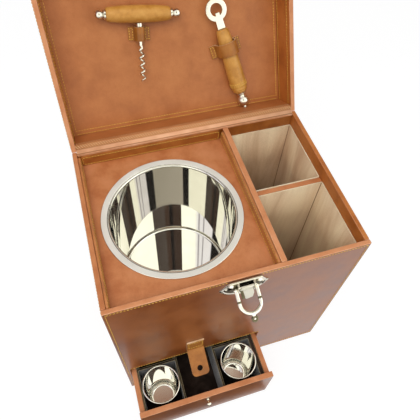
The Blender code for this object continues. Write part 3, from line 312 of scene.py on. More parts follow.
# Nickel plate over brass: bright, with a darker copy that is painted shade in the latch's hollows, satin on the tongue,
# and a paler copy that is painted highlight on the bail
nickelPlate = metal("brightNickelPlate", tones=("#D6CFC0", "#E2DCCE"), rough=0.12, wipe=0.015, dent=0.08)
darkNickel = metal("shadowedNickel", tones=("#6A634F", "#7A725C"), rough=0.32, wipe=0.01, dent=0.1)
satinNickel = metal(
    "satinNickelPlate", tones=("#CCC8BE", "#D6D2C8"), rough=0.45, wipe=0.015, dent=0.04, metallic=0.6
)
highlightNickel = metal("highlightNickelPlate", tones=("#F0ECE0", "#F6F2E8"), rough=0.30, wipe=0.015, dent=0.04)
# Steel inside the latch, near black: painted shade in the slot
slotShadeSteel = metal("oiledBlackSteel", tones=("#16120D", "#221C15"), rough=0.5, wipe=0.01, dent=0.1)
# Linen thread of the seams, golden, and paler at the hinge
goldThread = thread("waxedGoldLinen", tones=("#D0A040", "#EBC25E"))
paleThread = thread("paleWaxedLinen", tones=("#D8AC78", "#EBC594"))


# Building pieces

weld = 0.000002  # vertices closer than this are one
facing = 0.9  # a face that looks one way by this much counts as looking that way


def spot(plane, a, b, c):
    return {"xy": (a, b, c), "xz": (a, c, b), "yz": (c, a, b)}[plane]


def arc(centreA, centreB, radius, start, end, steps):
    angles = [radians(start + (end - start) * i / steps) for i in range(steps + 1)]
    return [(centreA + radius * cos(t), centreB + radius * sin(t)) for t in angles]


def rectangle(lowA, lowB, highA, highB):
    return [(lowA, lowB), (highA, lowB), (highA, highB), (lowA, highB)]


def roundedBox(lowA, lowB, highA, highB, radius, steps=4):
    points = arc(highA - radius, highB - radius, radius, 0, 90, steps)
    points += arc(lowA + radius, highB - radius, radius, 90, 180, steps)
    points += arc(lowA + radius, lowB + radius, radius, 180, 270, steps)
    points += arc(highA - radius, lowB + radius, radius, 270, 360, steps)
    return points


def flipped(points):  # an outline's or a profile's other half
    return [(a, -b) for a, b in reversed(points)]


def thicken(bm, plane, thickness):
    grown = bmesh.ops.extrude_face_region(bm, geom=list(bm.faces))
    ends = [part for part in grown["geom"] if isinstance(part, bmesh.types.BMVert)]
    bmesh.ops.translate(bm, vec=Vector(spot(plane, 0, 0, thickness)), verts=ends)
    bmesh.ops.recalc_face_normals(bm, faces=bm.faces)


def slab(outline, low, high, plane):  # a flat piece with one outline
    bm = bmesh.new()
    bm.faces.new([bm.verts.new(spot(plane, a, b, low)) for a, b in outline])
    thicken(bm, plane, high - low)
    return bm


def pierced(outlines, low, high, plane):  # a flat piece with an outline and holes
    bm = bmesh.new()
    for outline in outlines:
        ring = [bm.verts.new(spot(plane, a, b, low)) for a, b in outline]
        for pair in zip(ring, ring[1:] + ring[:1]):
            bm.edges.new(pair)
    bmesh.ops.triangle_fill(bm, use_beauty=True, edges=list(bm.edges))
    thicken(bm, plane, high - low)
    return bm


def board(low, high):
    return slab(rectangle(low[0], low[1], high[0], high[1]), low[2], high[2], "xy")


def cutAcross(bm, places, normal):  # extra loops, so that a face can bend or shade evenly
    for place in places:
        parts = list(bm.verts) + list(bm.edges) + list(bm.faces)
        bmesh.ops.bisect_plane(bm, geom=parts, plane_co=place, plane_no=normal)


def soften(bm, width, segments=2, sharpest=0.6, keep=lambda edge: True):
    sharp = [e for e in bm.edges if len(e.link_faces) == 2 and e.calc_face_angle() > sharpest and keep(e)]
    bmesh.ops.bevel(
        bm, geom=sharp, offset=width, offset_type="OFFSET", segments=segments, profile=0.5,
        affect="EDGES", material=-1, clamp_overlap=True,
    )
    return bm


def spun(profile, steps=64):
    bm = bmesh.new()
    verts = [bm.verts.new((radius, 0, height)) for radius, height in profile]
    edges = [bm.edges.new(pair) for pair in zip(verts, verts[1:])]
    bmesh.ops.spin(
        bm, geom=verts + edges, cent=(0, 0, 0), axis=(0, 0, 1), angle=tau, steps=steps, use_merge=True
    )
    bmesh.ops.remove_doubles(bm, verts=bm.verts, dist=weld)
    bmesh.ops.recalc_face_normals(bm, faces=bm.faces)
    return bm


def wire(points, radius, radii=None, detail=4):  # a round bar along a path, thinner or thicker by radii
    curve = bpy.data.curves.new("wire", "CURVE")
    curve.dimensions = "3D"
    curve.bevel_depth = radius
    curve.bevel_resolution = detail
    curve.use_fill_caps = True
    spline = curve.splines.new("POLY")
    spline.points.add(len(points) - 1)
    for i, point in enumerate(points):
        spline.points[i].co = (*point, 1)
        spline.points[i].radius = radii[i] / radius if radii else 1
    rail = bpy.data.objects.new("wire", curve)
    bpy.context.scene.collection.objects.link(rail)
    bpy.context.view_layer.update()
    mesh = bpy.data.meshes.new_from_object(rail.evaluated_get(bpy.context.evaluated_depsgraph_get()))
    bm = bmesh.new()
    bm.from_mesh(mesh)
    bmesh.ops.remove_doubles(bm, verts=bm.verts, dist=weld)
    bmesh.ops.recalc_face_normals(bm, faces=bm.faces)
    bpy.data.objects.remove(rail, do_unlink=True)
    bpy.data.meshes.remove(mesh)
    return bm


def moved(bm, matrix):
    bmesh.ops.transform(bm, matrix=matrix, verts=bm.verts)
    return bm


def joined(bm, *others):
    for other in others:
        mesh = bpy.data.meshes.new("part")
        other.to_mesh(mesh)
        other.free()
        bm.from_mesh(mesh)
        bpy.data.meshes.remove(mesh)
    return bm


def addSpun(bm, profile, steps, places, degrees=0, axis="X"):  # the same turned shape at each place
    for place in places:
        joined(bm, moved(spun(profile, steps), placed(place, degrees, axis)))
    return bm


def paint(bm, rule):
    for face in bm.faces:
        face.material_index = rule(face.normal, face.calc_center_median())
    return bm


def camel(node):
    first, *rest = node.split("_")
    return first + "".join(word.capitalize() for word in rest)


def linked(name, mesh):
    piece = bpy.data.objects.new(name, mesh)
    bpy.context.scene.collection.objects.link(piece)
    return piece


def makePiece(name, bm, finishes, body, slotName, nodes=(), angle=40, weighted=True, ride=True):
    mesh = bpy.data.meshes.new(name)
    bm.to_mesh(mesh)
    bm.free()
    for finish in finishes:
        mesh.materials.append(finish)
    piece = linked(name, mesh)
    mesh.shade_smooth()
    mesh.set_sharp_from_angle(angle=radians(angle))
    if weighted:
        piece.modifiers.new("flatFaces", "WEIGHTED_NORMAL").keep_sharp = True
    if ride:
        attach(piece, body)
    if nodes:
        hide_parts(*nodes)
    return piece


stitch = dict(
    pitch=0.0039, length=0.0029, width=0.0012, height=0.0009, wander=0.05, proud=0.00015, lift=0.0001,
    sides=6, rings=5,
)


def sew(seam, points, normal, pitch=None, length=None, closed=False):  # places for thread along a path
    spots = [Vector(point) for point in points]
    if closed:
        spots.append(spots[0].copy())
    normal = Vector(normal).normalized()
    runs = [(b - a).length for a, b in zip(spots, spots[1:])]
    total = sum(runs)
    count = max(1, round(total / (pitch or stitch["pitch"])))
    half = (length or stitch["length"]) / 2
    for i in range(count):
        reach = total * (i + 0.5) / count
        leg = 0
        while leg < len(runs) - 1 and reach > runs[leg]:
            reach -= runs[leg]
            leg += 1
        along = (spots[leg + 1] - spots[leg]).normalized()
        turn = random.gauss(0, stitch["wander"])
        direction = along * cos(turn) + normal.cross(along) * sin(turn)
        side = normal.cross(direction).normalized()
        axes = (side * stitch["width"] / 2, normal * stitch["height"] / 2, direction * half)
        matrix = Matrix(axes).transposed().to_4x4()
        matrix.translation = spots[leg] + along * reach
        seam.append(matrix)


def makeSeam(name, seam, body, place=None, finish=None):  # one short round thread at each place
    bm = bmesh.new()
    bmesh.ops.create_uvsphere(bm, u_segments=stitch["sides"], v_segments=stitch["rings"], radius=1)
    ball = [vert.co.copy() for vert in bm.verts]
    sides = [[vert.index for vert in face.verts] for face in bm.faces]
    bm.free()
    points, faces = [], []  # thousands of threads are repeated as lists, as joining their meshes is slow
    for matrix in seam:
        whole = place @ matrix if place else matrix
        first = len(points)
        points += [whole @ point for point in ball]
        faces += [[first + index for index in side] for side in sides]
    mesh = bpy.data.meshes.new(name)
    mesh.from_pydata(points, [], faces)
    mesh.materials.append(finish or goldThread)
    mesh.shade_smooth()
    piece = linked(name, mesh)
    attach(piece, body)


# Camera

cameraView = dict(
    eye=(-0.1232, -0.3117, 0.7870), forward=(0.20409, 0.52790, -0.82442),
    right=(0.95381, -0.29687, 0.04603), up=(0.22045, 0.79574, 0.56410),
    sensor=36, lens=37.87, shiftX=-1.4 / 420, shiftY=-2.09 / 420, nearest=0.01,
)
cameraData = bpy.data.cameras.new("camera")
cameraData.sensor_width = cameraView["sensor"]
cameraData.lens = cameraView["lens"]
cameraData.shift_x = cameraView["shiftX"]
cameraData.shift_y = cameraView["shiftY"]
cameraData.clip_start = cameraView["nearest"]
camera = linked("camera", cameraData)
axes = Matrix((cameraView["right"], cameraView["up"], [-v for v in cameraView["forward"]])).transposed()
camera.matrix_world = Matrix.Translation(cameraView["eye"]) @ axes.to_4x4()
bpy.context.scene.camera = camera
print("camera placed")


# Body of the case

boardShape = dict(
    edge=0.0010, segments=3, shelfEdge=0.0005, shelfSegments=2, hingeNear=0.0012,
    edgeFacing=0.2, inFacing=0.5,  # how far a face looks up or inwards to get that finish
)


def awayFromHinge(edge):  # the corners that meet at the hinge stay sharp, so that no gap opens there
    return not all((vert.co.yz - hinge.yz).length < boardShape["hingeNear"] for vert in edge.verts)


def paintBoard(bm, inward, rim=1):  # outside, inside, rim, and rubbed edge with a painted highlight
    def rule(normal, centre):
        if rim * normal.z > facing:
            return 2
        if rim * normal.z > boardShape["edgeFacing"]:
            return 3
        return 1 if normal.dot(Vector(inward)) > boardShape["inFacing"] else 0
    return paint(bm, rule)


def bodyWalls():
    shape = boardShape
    for node, inward, finishes in (
        ("left_panel", (1, 0, 0), [outerHide, wallHide, trayHide, rimHide]),
        ("right_panel", (-1, 0, 0), [outerHide, wallHide, wallHide, rimHide]),
        # the back wall's inside is in the darker strip hide, painted shade
        ("back_panel", (0, -1, 0), [outerHide, darkStripAndShadeHide, rimHide, edgeWearAndHighlight]),
        ("centre_divider", (-1, 0, 0), [wallHide, stripHide, rimHide, edgeWearAndHighlight]),
        ("cross_divider", (0, -1, 0), [bottleSuede, bottleSuede, trayHide, stripHide]),
    ):
        bm = soften(board(*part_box(node)), shape["edge"], shape["segments"], keep=awayFromHinge)
        makePiece(node + "Hide", paintBoard(bm, inward), finishes, "case", "body_leather", [node])
    for name, node, finish, edge, segments in (
        ("baseBoardHide", "base_board", outerHide, shape["edge"], shape["segments"]),
        ("bayShelfHide", "drawer_bay_shelf", wallHide, shape["shelfEdge"], shape["shelfSegments"]),
    ):
        bm = soften(board(*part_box(node)), edge, segments)
        makePiece(name, bm, [finish], "case", "body_leather", [node])


frontWall = dict(openingLeft=-0.1575, openingRight=0.0475, openingTop=0.098)


def frontPanel():
    low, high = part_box("front_panel")
    left, right, top = frontWall["openingLeft"], frontWall["openingRight"], frontWall["openingTop"]
    outline = [
        (low.x, low.z), (left, low.z), (left, top), (right, top), (right, low.z),
        (high.x, low.z), (high.x, high.z), (low.x, high.z),
    ]
    bm = soften(slab(outline, low.y, high.y, "xz"), boardShape["edge"], boardShape["segments"])
    # the front's darker hide is painted shade
    finishes = [shadedFrontHide, wallHide, rimHide, edgeWearAndHighlight]
    makePiece("frontPanelHide", paintBoard(bm, (0, 1, 0)), finishes, "case", "front_leather", ["front_panel"])


bodySeamShape = dict(
    edge=0.0036, foot=0.003, halfDepth=0.119, behindLatch=0.0208, overDrawer=0.0028, drawerStart=0.004,
    drawerEnd=0.001, besideDrawer=0.003,
)


def bodySeams():  # golden stitching round the outside faces and over the drawer
    shape, seam = bodySeamShape, []
    low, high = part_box("front_panel")
    face, back = low.y - stitch["proud"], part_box("back_panel")[1].y + stitch["proud"]
    left, right = low.x + shape["edge"], high.x - shape["edge"]
    bottom, top = shape["foot"] + shape["edge"], high.z - shape["edge"]
    latch, opening = shape["behindLatch"], frontWall["openingRight"]
    overDrawer = frontWall["openingTop"] + shape["overDrawer"]
    for path in (
        [(left, bottom), (left, top), (-latch, top)],
        [(latch, top), (right, top), (right, bottom)],
        [(left + shape["drawerStart"], overDrawer), (opening + shape["drawerEnd"], overDrawer)],
        [(right, bottom), (opening + shape["besideDrawer"], bottom)],
    ):
        sew(seam, [(x, face, z) for x, z in path], (0, -1, 0))
    ring = [(left, bottom), (left, top), (right, top), (right, bottom)]
    sew(seam, [(x, back, z) for x, z in ring], (0, 1, 0), closed=True)
    for side in (-1, 1):
        wall = side * (high.x + stitch["proud"])
        deep = shape["halfDepth"] - shape["edge"]
        ring = [(-deep, bottom), (-deep, top), (deep, top), (deep, bottom)]
        sew(seam, [(wall, y, z) for y, z in ring], (side, 0, 0), closed=True)
    makeSeam("bodySeams", seam, "case")


bodyWalls()
frontPanel()
bodySeams()
print("body walls made")


# Tray, strips and bottle compartments

trayShape = dict(centre=(-0.0555, -0.001), hole=0.0832, steps=96)


def tray():
    low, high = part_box("bucket_tray")
    hole = arc(*trayShape["centre"], trayShape["hole"], 0, 360, trayShape["steps"])[:-1]
    bm = pierced([rectangle(low.x, low.y, high.x, high.y), hole], low.z, high.z, "xy")
    makePiece("trayPanel", bm, [trayHide], "case", "lining_leather", ["bucket_tray"])


stripShape = dict(corner=0.0045, edge=0.0005, seam=0.0021)


def wellStrips():
    shape, seams = stripShape, []
    seam, corner = shape["seam"], shape["corner"]
    for node, plane, normal, finish in (
        ("well_strip_left", "yz", (1, 0, 0), stripHide),
        ("well_strip_divider", "yz", (-1, 0, 0), stripHide),
        # the back strip is in the darker strip hide, painted shade
        ("well_strip_back", "xz", (0, -1, 0), darkStripAndShadeHide),
    ):
        low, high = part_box(node)
        across, through = ("y", "x") if plane == "yz" else ("x", "y")
        start, end = getattr(low, across), getattr(high, across)
        near, far = getattr(low, through), getattr(high, through)
        face = far + stitch["lift"] if sum(normal) > 0 else near - stitch["lift"]
        ring = roundedBox(start + seam, low.z + seam, end - seam, high.z - seam, corner - seam)
        sew(seams, [spot(plane, a, b, face) for a, b in ring], normal, closed=True)
        bm = slab(roundedBox(start, low.z, end, high.z, corner), near, far, plane)
        name = node.replace("well_strip", "wellStrip")
        makePiece(name, soften(bm, shape["edge"]), [finish], "case", "trim_leather", [node])
    makeSeam("stripSeams", seams, "case")


linerShape = dict(
    wall=0.0015, corner=0.0022, cuts=(0.25, 0.5, 0.75), crease=0.0007, creaseInset=0.0002, creaseDrop=0.0012
)


def bottleLiners():
    shape = linerShape
    for node in ("front_bottle_liner", "rear_bottle_liner"):
        low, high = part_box(node)
        bm = slab(roundedBox(low.x, low.y, high.x, high.y, shape["corner"], 3), low.z, high.z, "xy")
        mouth = [face for face in bm.faces if face.normal.z > facing]
        bmesh.ops.delete(bm, geom=mouth, context="FACES_ONLY")
        heights = [low.z + (high.z - low.z) * share for share in shape["cuts"]]
        cutAcross(bm, [(0, 0, height) for height in heights], (0, 0, 1))
        name = node.replace("_bottle_liner", "Bottle")
        liner = makePiece(
            name + "Suede", bm, [bottleSuede, suedeTurn], "case", "suede", [node], weighted=False
        )
        wall = liner.modifiers.new("wall", "SOLIDIFY")
        wall.thickness = shape["wall"]
        wall.offset = -1
        wall.material_offset_rim = 1
        crease, reach = shape["crease"], shape["wall"] + shape["creaseInset"]
        creases = bmesh.new()
        for x in (low.x + reach, high.x - reach):  # glued seams in the corners, drawn dark as painted shade
            for y in (low.y + reach, high.y - reach):
                outline = [(x + crease, y), (x, y + crease), (x - crease, y), (x, y - crease)]
                joined(creases, slab(outline, low.z + reach, high.z - shape["creaseDrop"], "xy"))
        makePiece(name + "Seams", creases, [seamShadeSuede], "case", "suede")


tray()
wellStrips()
bottleLiners()
print("tray, strips and bottle compartments made")


# Ice bucket

bucketShape = dict(
    radius=0.081, wall=0.001, flange=0.0924, flangeThickness=0.0012, depth=0.165,
    fillet=0.0035, roll=0.0026, dish=0.0008, groove=0.0004, hold=0.0004, steps=160,
    bead=((0.5, 1), (1.4, 1), (2, 0), (2.6, -0.1)),  # out from the rolled rim and down, in grooves
    lip=((0.0009, 0), (0.0005, 0), (0.0001, 0.0002), (0, 0.0006)),  # in from the flange's edge and down
)


def iceBucket():
    shape = bucketShape
    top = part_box("ice_bucket")[1].z
    floor, dish = top - shape["depth"], top - shape["dish"]
    inner, wall, roll = shape["radius"], shape["wall"], shape["roll"]
    fillet, hold, groove, flange = shape["fillet"], shape["hold"], shape["groove"], shape["flange"]
    ledge, under = inner + roll, top - shape["flangeThickness"]
    profile = [(0, floor), (inner - fillet - hold, floor)]
    profile += arc(inner - fillet, floor + fillet, fillet, -90, 0, 8)
    profile += [(inner, floor + fillet + hold), (inner, dish - roll - hold)]
    profile += arc(inner + roll, dish - roll, roll, 180, 90, 6)
    profile += [(ledge + groove * out, dish - groove * down) for out, down in shape["bead"]]
    profile += [(flange - back, top - down) for back, down in shape["lip"]]
    profile += [(flange, under), (inner + wall, under)]
    profile += arc(inner - fillet, floor + fillet, fillet + wall, 0, -90, 8)
    profile += [(0, floor - wall)]
    blasted = ledge + groove * 2
    bm = spun(profile, shape["steps"])
    paint(bm, lambda n, c: 1 if n.z > facing and c.xy.length > blasted and c.z > under else 0)
    moved(bm, Matrix.Translation((*trayShape["centre"], 0)))
    makePiece(
        "iceBucketSteel", bm, [bucketSteel, flangeSteel], "ice_bucket", "bucket_steel", ["ice_bucket"],
        angle=50, weighted=False,
    )


iceBucket()
print("ice bucket made")


# Drawer with its cells and cups

drawerShape = dict(
    edge=0.0008, segments=3, cellEdge=0.0007, cellTop=0.0005, piping=0.0008, pipingFacing=(0.05, 0.95),
    cellWeld=0.000005, cellFlat=0.02,
)


def drawer():
    shape = drawerShape
    for node, finish, slotName in (
        # the drawer's front is in the darker front hide, painted shade
        ("drawer_front", shadedFrontHide, "front_leather"), ("drawer_left_side", outerHide, "body_leather"),
        ("drawer_right_side", outerHide, "body_leather"), ("drawer_back", outerHide, "body_leather"),
        ("drawer_bottom", cellVelvet, "cell_lining"),
    ):
        bm = soften(board(*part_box(node)), shape["edge"], shape["segments"])
        # bevels that face up take the pale edge: wear and a painted highlight
        paint(bm, lambda n, c: 1 if n.z > facing else 2 if n.z > boardShape["edgeFacing"] else 0)
        finishes = [finish, cellVelvet if finish == cellVelvet else rimHide, edgeWearAndHighlight]
        makePiece(camel(node) + "Piece", bm, finishes, "drawer", slotName, [node])
    bm = bmesh.new()
    bm.from_mesh(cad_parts["cup_cells"].data)
    bmesh.ops.remove_doubles(bm, verts=bm.verts, dist=shape["cellWeld"])
    bmesh.ops.dissolve_limit(bm, angle_limit=shape["cellFlat"], verts=bm.verts, edges=bm.edges)
    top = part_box("cup_cells")[1].z
    soften(bm, shape["cellEdge"], keep=lambda e: all(v.co.z > top - shape["cellTop"] for v in e.verts))
    flat, steep = shape["pipingFacing"]
    paint(bm, lambda n, c: 1 if c.z > top - shape["piping"] and flat < n.z < steep else 0)
    makePiece("cupCellsVelvet", bm, [cellVelvet, cellPiping], "drawer", "cell_lining", ["cup_cells"])


cupShape = dict(
    top=0.0270, base=0.0225, wall=0.0010, height=0.083, fillet=0.006, steps=72,
    foot=0.0006, footIn=0.009, footOut=0.0075, heel=0.004, neck=0.0034, bead=0.0012, beadIn=0.0002, mouth=0.0030,
)


def cups():
    shape = cupShape
    top, base, wall, height, fillet = (shape[key] for key in ("top", "base", "wall", "height", "fillet"))
    foot, heel, bead, neck = shape["foot"], shape["heel"], shape["bead"], height - shape["neck"]
    profile = [(0, foot), (base - shape["footIn"], foot), (base - shape["footOut"], 0), (base - heel, 0)]
    profile += arc(base - heel, heel, heel, -70, 0, 5)
    profile += [(base + (top - base) / height * neck, neck)]
    profile += arc(top - shape["beadIn"], height - bead, bead, -70, 150, 9)
    profile += [(top - wall, height - shape["mouth"])]
    profile += arc(base - wall - fillet, wall + fillet + foot, fillet, 0, -90, 8)
    profile += [(0, wall + foot)]
    for node, body in (
        ("cup_front_left", "cup_front_left"), ("cup_front_right", "cup_front_right"),
        ("cup_rear_left", "drawer"), ("cup_rear_right", "drawer"),
    ):
        low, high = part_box(node)
        place = ((low.x + high.x) / 2, (low.y + high.y) / 2, low.z)
        bm = moved(spun(profile, shape["steps"]), Matrix.Translation(place))
        name = camel("steel_" + node)
        makePiece(name, bm, [bucketSteel], body, "cup_steel", [node], angle=50, weighted=False)


drawer()
cups()
print("drawer and cups made")


# Strap over the drawer, with its knob

strapShape = dict(
    width=0.026, thickness=0.0025, top=0.1485, fold=0.118, tail=0.040, rest=65, centre=-0.0571,
    middle=-0.12055, hole=0.00425, holeDrop=0.030, bend=0.006, corner=0.006, edge=0.0004, bands=24, grainFacing=0.5,
    seam=0.0027, seamEnd=0.022, seamPitch=0.0036, seamLength=0.0026,
    blendUp=0.004, blendDown=0.002, blendOut=0.004,  # how far up, down and out from the fold two points lie
)


def strapPoint(s):  # where the strap's middle lies, s metres below its top, and how it leans
    shape = strapShape
    rest = radians(shape["rest"])
    radius = shape["bend"] / rest
    straight = shape["top"] - shape["fold"] - radius * tan(rest / 2)
    if s < straight:
        return shape["middle"], shape["top"] - s, 0.0
    turn = min((s - straight) / radius, rest)
    y = shape["middle"] - radius * (1 - cos(turn))
    z = shape["top"] - straight - radius * sin(turn)
    left = max(0.0, s - straight - shape["bend"])
    return y - left * sin(rest), z - left * cos(rest), turn


def onStrap(across, s, off):
    y, z, turn = strapPoint(s)
    return Vector((strapShape["centre"] + across, y - off * cos(turn), z + off * sin(turn)))


def strap():
    shape = strapShape
    half, length, corner = shape["width"] / 2, shape["top"] - shape["fold"] + shape["tail"], shape["corner"]
    outline = [(-half, 0), (half, 0), (half, length - corner)]
    outline += arc(half - corner, length - corner, corner, 0, 90, 5)[1:]
    outline += arc(-half + corner, length - corner, corner, 90, 180, 5)
    rest = radians(shape["rest"])
    shortcut = 2 * shape["bend"] / rest * tan(rest / 2) - shape["bend"]  # the bend cuts the fold's corner
    holeAt = shape["top"] - shape["fold"] + shape["holeDrop"] - shortcut
    hole = arc(0, holeAt, shape["hole"], 0, 360, 24)[:-1]
    bm = pierced([outline, hole], -shape["thickness"] / 2, shape["thickness"] / 2, "xy")
    bands = shape["bands"]
    cutAcross(bm, [(0, length * i / bands, 0) for i in range(1, bands)], (0, 1, 0))
    soften(bm, shape["edge"], 1)
    paint(bm, lambda n, c: 0 if abs(n.z) > shape["grainFacing"] else 1)
    for vert in bm.verts:
        vert.co = onStrap(*vert.co)
    bmesh.ops.recalc_face_normals(bm, faces=bm.faces)
    nodes = ["strap_sewn_end", "strap_tail"]
    piece = makePiece("drawerStrap", bm, [strapHide, rawEdge], "case", "strap_leather", nodes, ride=False)
    x, y, z = shape["centre"], shape["middle"], shape["fold"]
    start, end = (x, y, z + shape["blendUp"]), (x, y - shape["blendOut"], z - shape["blendDown"])
    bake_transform(piece)
    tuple(start)
    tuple(end)
    seams, seam = [], shape["seam"]
    box = rectangle(-half + seam, seam, half - seam, shape["seamEnd"])
    path = [onStrap(a, s, shape["thickness"] / 2 + stitch["lift"]) for a, s in box]
    sew(seams, path, (0, -1, 0), shape["seamPitch"], shape["seamLength"], closed=True)
    makeSeam("strapSeams", seams, "case")


knobShape = dict(
    head=0.0036, steps=40, neck=((0, 0), (0.0037, 0), (0.0037, 0.0005), (0.0022, 0.0011), (0.0019, 0.0028))
)


def knob():
    shape = knobShape
    low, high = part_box("drawer_stud")
    head = arc(0, high.y - low.y - shape["head"], shape["head"], -48, 90, 12)
    matrix = placed(((low.x + high.x) / 2, high.y, (low.z + high.z) / 2), 90)
    bm = moved(spun([*shape["neck"], *head], shape["steps"]), matrix)
    makePiece("drawerKnob", bm, [nickelPlate], "drawer", "nickel", ["drawer_stud"], weighted=False)


strap()
knob()
print("strap and knob made")


# Latch: winged plate, housing, tongue and bail

plateShape = dict(
    top=0.321, height=0.036, edge=0.0004, crown=0.0010, sink=0.0002, fieldArea=0.0005,
    outline=(  # half width, and share of the height below the top
        (0.0208, 0), (0.0214, 0.05), (0.0288, 0.33), (0.0309, 0.37), (0.0312, 0.40), (0.0304, 0.44),
        (0.0272, 0.62), (0.0230, 0.75), (0.0190, 0.83), (0.0135, 0.88), (0.0100, 0.94), (0.0050, 0.99),
    ),
    rim=((0.0006, 0), (0.0014, 1), (0.0008, 0), (0.0012, -0.8)),  # inset, and rise in crowns
    rivet=((0, 0.0016), (0.0010, 0.0013), (0.0018, 0.0006), (0.0021, 0)), rivetAt=0.0232, rivetDrop=0.33,
    barHalf=0.0208, barReach=0.0026, barTop=0.3242, barHeight=0.0034, barEdge=0.0010,
    boss=0.0034, bossFoot=-0.0010, bossAt=0.0176, bossReach=0.0012, bossDrop=0.0030, bossTilt=38,
)


def latchPlate():
    shape = plateShape
    low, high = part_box("latch_plate")
    top, tall, middle = shape["top"], shape["height"], (low.y + high.y) / 2
    right = [(a, top - share * tall) for a, share in shape["outline"]]
    bm = slab(right + [(-a, b) for a, b in reversed(right)], low.y, high.y, "xz")
    soften(bm, shape["edge"], keep=lambda e: all(v.co.y < middle for v in e.verts))
    field = [face for face in bm.faces if face.normal.y < -facing and face.calc_area() > shape["fieldArea"]]
    for step, rise in shape["rim"]:
        bmesh.ops.inset_region(bm, faces=field, thickness=step, depth=0.0, use_even_offset=False)
        corners = list({vert for face in field for vert in face.verts})
        bmesh.ops.translate(bm, vec=(0, -rise * shape["crown"], 0), verts=corners)
    for face in field:  # the sunk field inside the bright rim, in the darker nickel as painted shade
        face.material_index = 1
    height = top - shape["rivetDrop"] * tall
    places = [(x, low.y - shape["sink"], height) for x in (-shape["rivetAt"], shape["rivetAt"])]
    addSpun(bm, shape["rivet"], 20, places, 90)  # domed rivets near the points
    half, barTop = shape["barHalf"], shape["barTop"]
    barLow = (-half, low.y - shape["barReach"], barTop - shape["barHeight"])
    bar = board(barLow, (half, low.y + shape["sink"], barTop))
    makePiece("latchTopBar", soften(bar, shape["barEdge"], 3), [nickelPlate], "case", "nickel", angle=35)
    boss, out = shape["boss"], low.y - shape["bossReach"]
    places = [(side * shape["bossAt"], out, top - shape["bossDrop"]) for side in (-1, 1)]
    profile = [(0, boss)] + arc(0, 0, boss, 80, 0, 8) + [(boss, shape["bossFoot"])]
    bosses = addSpun(bmesh.new(), profile, 28, places, shape["bossTilt"])  # under the ends of the bar
    # the bosses are in the paler nickel, a painted highlight
    makePiece("latchBosses", bosses, [highlightNickel], "case", "nickel", weighted=False)
    makePiece("latchWingPlate", bm, [nickelPlate, darkNickel], "case", "nickel", ["latch_plate"], angle=25)


housingShape = dict(
    half=0.0114, top=0.3218, cheek=0.0030, front=0.0012, frontTop=0.0020, chin=0.004, chinBack=0.003,
    slotBack=-0.1228, slotDepth=0.0042, slotDrop=0.0064, slotTop=0.0008, slotEdge=0.0001, lining=0.0003, gap=0.0001,
    bridge=0.0040, bridgeTop=0.0003, bridgeFront=0.0002, bridgeEdge=0.0005,
    postOut=0.0150, postGap=0.0002, postFront=-0.1238, postFoot=0.3100, postDrop=0.0012, edge=0.0006,
)


def latchHousing():
    shape = housingShape
    low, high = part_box("latch_housing")
    half, top, gap, front = shape["half"], shape["top"], shape["gap"], low.y
    slotBack, slotTop, deep = shape["slotBack"], top - shape["slotTop"], top - shape["slotDrop"]
    slotFront, inside, back = slotBack - shape["slotDepth"], half - shape["cheek"] - gap, high.y - gap
    outline = [
        (high.y, low.z), (high.y, top), (front + shape["front"], top), (front, top - shape["frontTop"]),
        (front, low.z + shape["chin"]), (front + shape["chinBack"], low.z),
    ]
    cheeks, posts = bmesh.new(), bmesh.new()
    # a near black box in the slot, painted shade below its mouth
    slot = board((-inside, slotBack, deep), (inside, back, slotTop))
    joined(slot, board((-inside, slotFront + gap, deep - shape["slotTop"]), (inside, slotBack, deep)))
    for side in (-1, 1):  # cheeks with rounded fronts, sides of the slot in near black as painted shade, and posts beside the cheeks in the darker nickel as painted shade
        inner, outer = sorted((side * (half - shape["cheek"]), side * half))
        joined(cheeks, soften(slab(outline, inner, outer, "yz"), shape["edge"]))
        inner, outer = sorted((side * (inside - shape["lining"]), side * inside))
        joined(slot, board((inner, slotFront + gap, deep), (outer, slotBack, slotTop)))
        inner, outer = sorted((side * (half + shape["postGap"]), side * shape["postOut"]))
        post = board((inner, shape["postFront"], shape["postFoot"]), (outer, back, top - shape["postDrop"]))
        joined(posts, soften(post, shape["edge"]))
    bridge = soften(board(
        (-inside, front + shape["bridgeFront"], top - shape["bridge"]), (inside, slotFront, top - shape["bridgeTop"])
    ), shape["bridgeEdge"])
    # the bridge is in the paler nickel, a painted highlight
    makePiece("latchBridge", bridge, [highlightNickel], "case", "nickel", angle=35)
    makePiece("latchHousing", cheeks, [nickelPlate], "case", "nickel", ["latch_housing"], angle=35)
    makePiece("latchSlotInside", soften(slot, shape["slotEdge"], 1), [slotShadeSteel], "case", "nickel", angle=35)
    makePiece("latchPosts", posts, [darkNickel], "case", "nickel", angle=35)


latchPlace = dict(pin=(0, -0.1262, 0.312), rest=20.5)  # the pin's middle, and how far the bail hangs out
latchTurned = placed(latchPlace["pin"], latchPlace["rest"])
pinShape = dict(end=((0, 0), (0.0010, 0), (0.0014, 0.0004), (0.0014, 0.0009), (0.0012, 0.0010)))


def latchPin():
    low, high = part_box("latch_pin")
    length = (high.x - low.x) / 2
    profile = [(radius, length - drop) for radius, drop in pinShape["end"]]
    bm = moved(spun(profile + flipped(profile), 24), placed(latchPlace["pin"], 90, "Y"))
    makePiece("latchPinRod", bm, [nickelPlate], "case", "nickel", ["latch_pin"], weighted=False)


tongueShape = dict(
    reach=0.0122, half=0.0080, thick=0.0014, back=0.0015, bore=0.0015, barrel=0.0023, edge=0.0004,
    shoulder=0.55, tipAt=0.92, tipHalf=0.60, tipCorner=0.0010,  # shares of the reach and of the half width
    rib=0.0036, ribBack=0.0010, ribGap=0.0003, ribEdge=0.0005, ribAt=0.94, ribDrop=1.5,
)


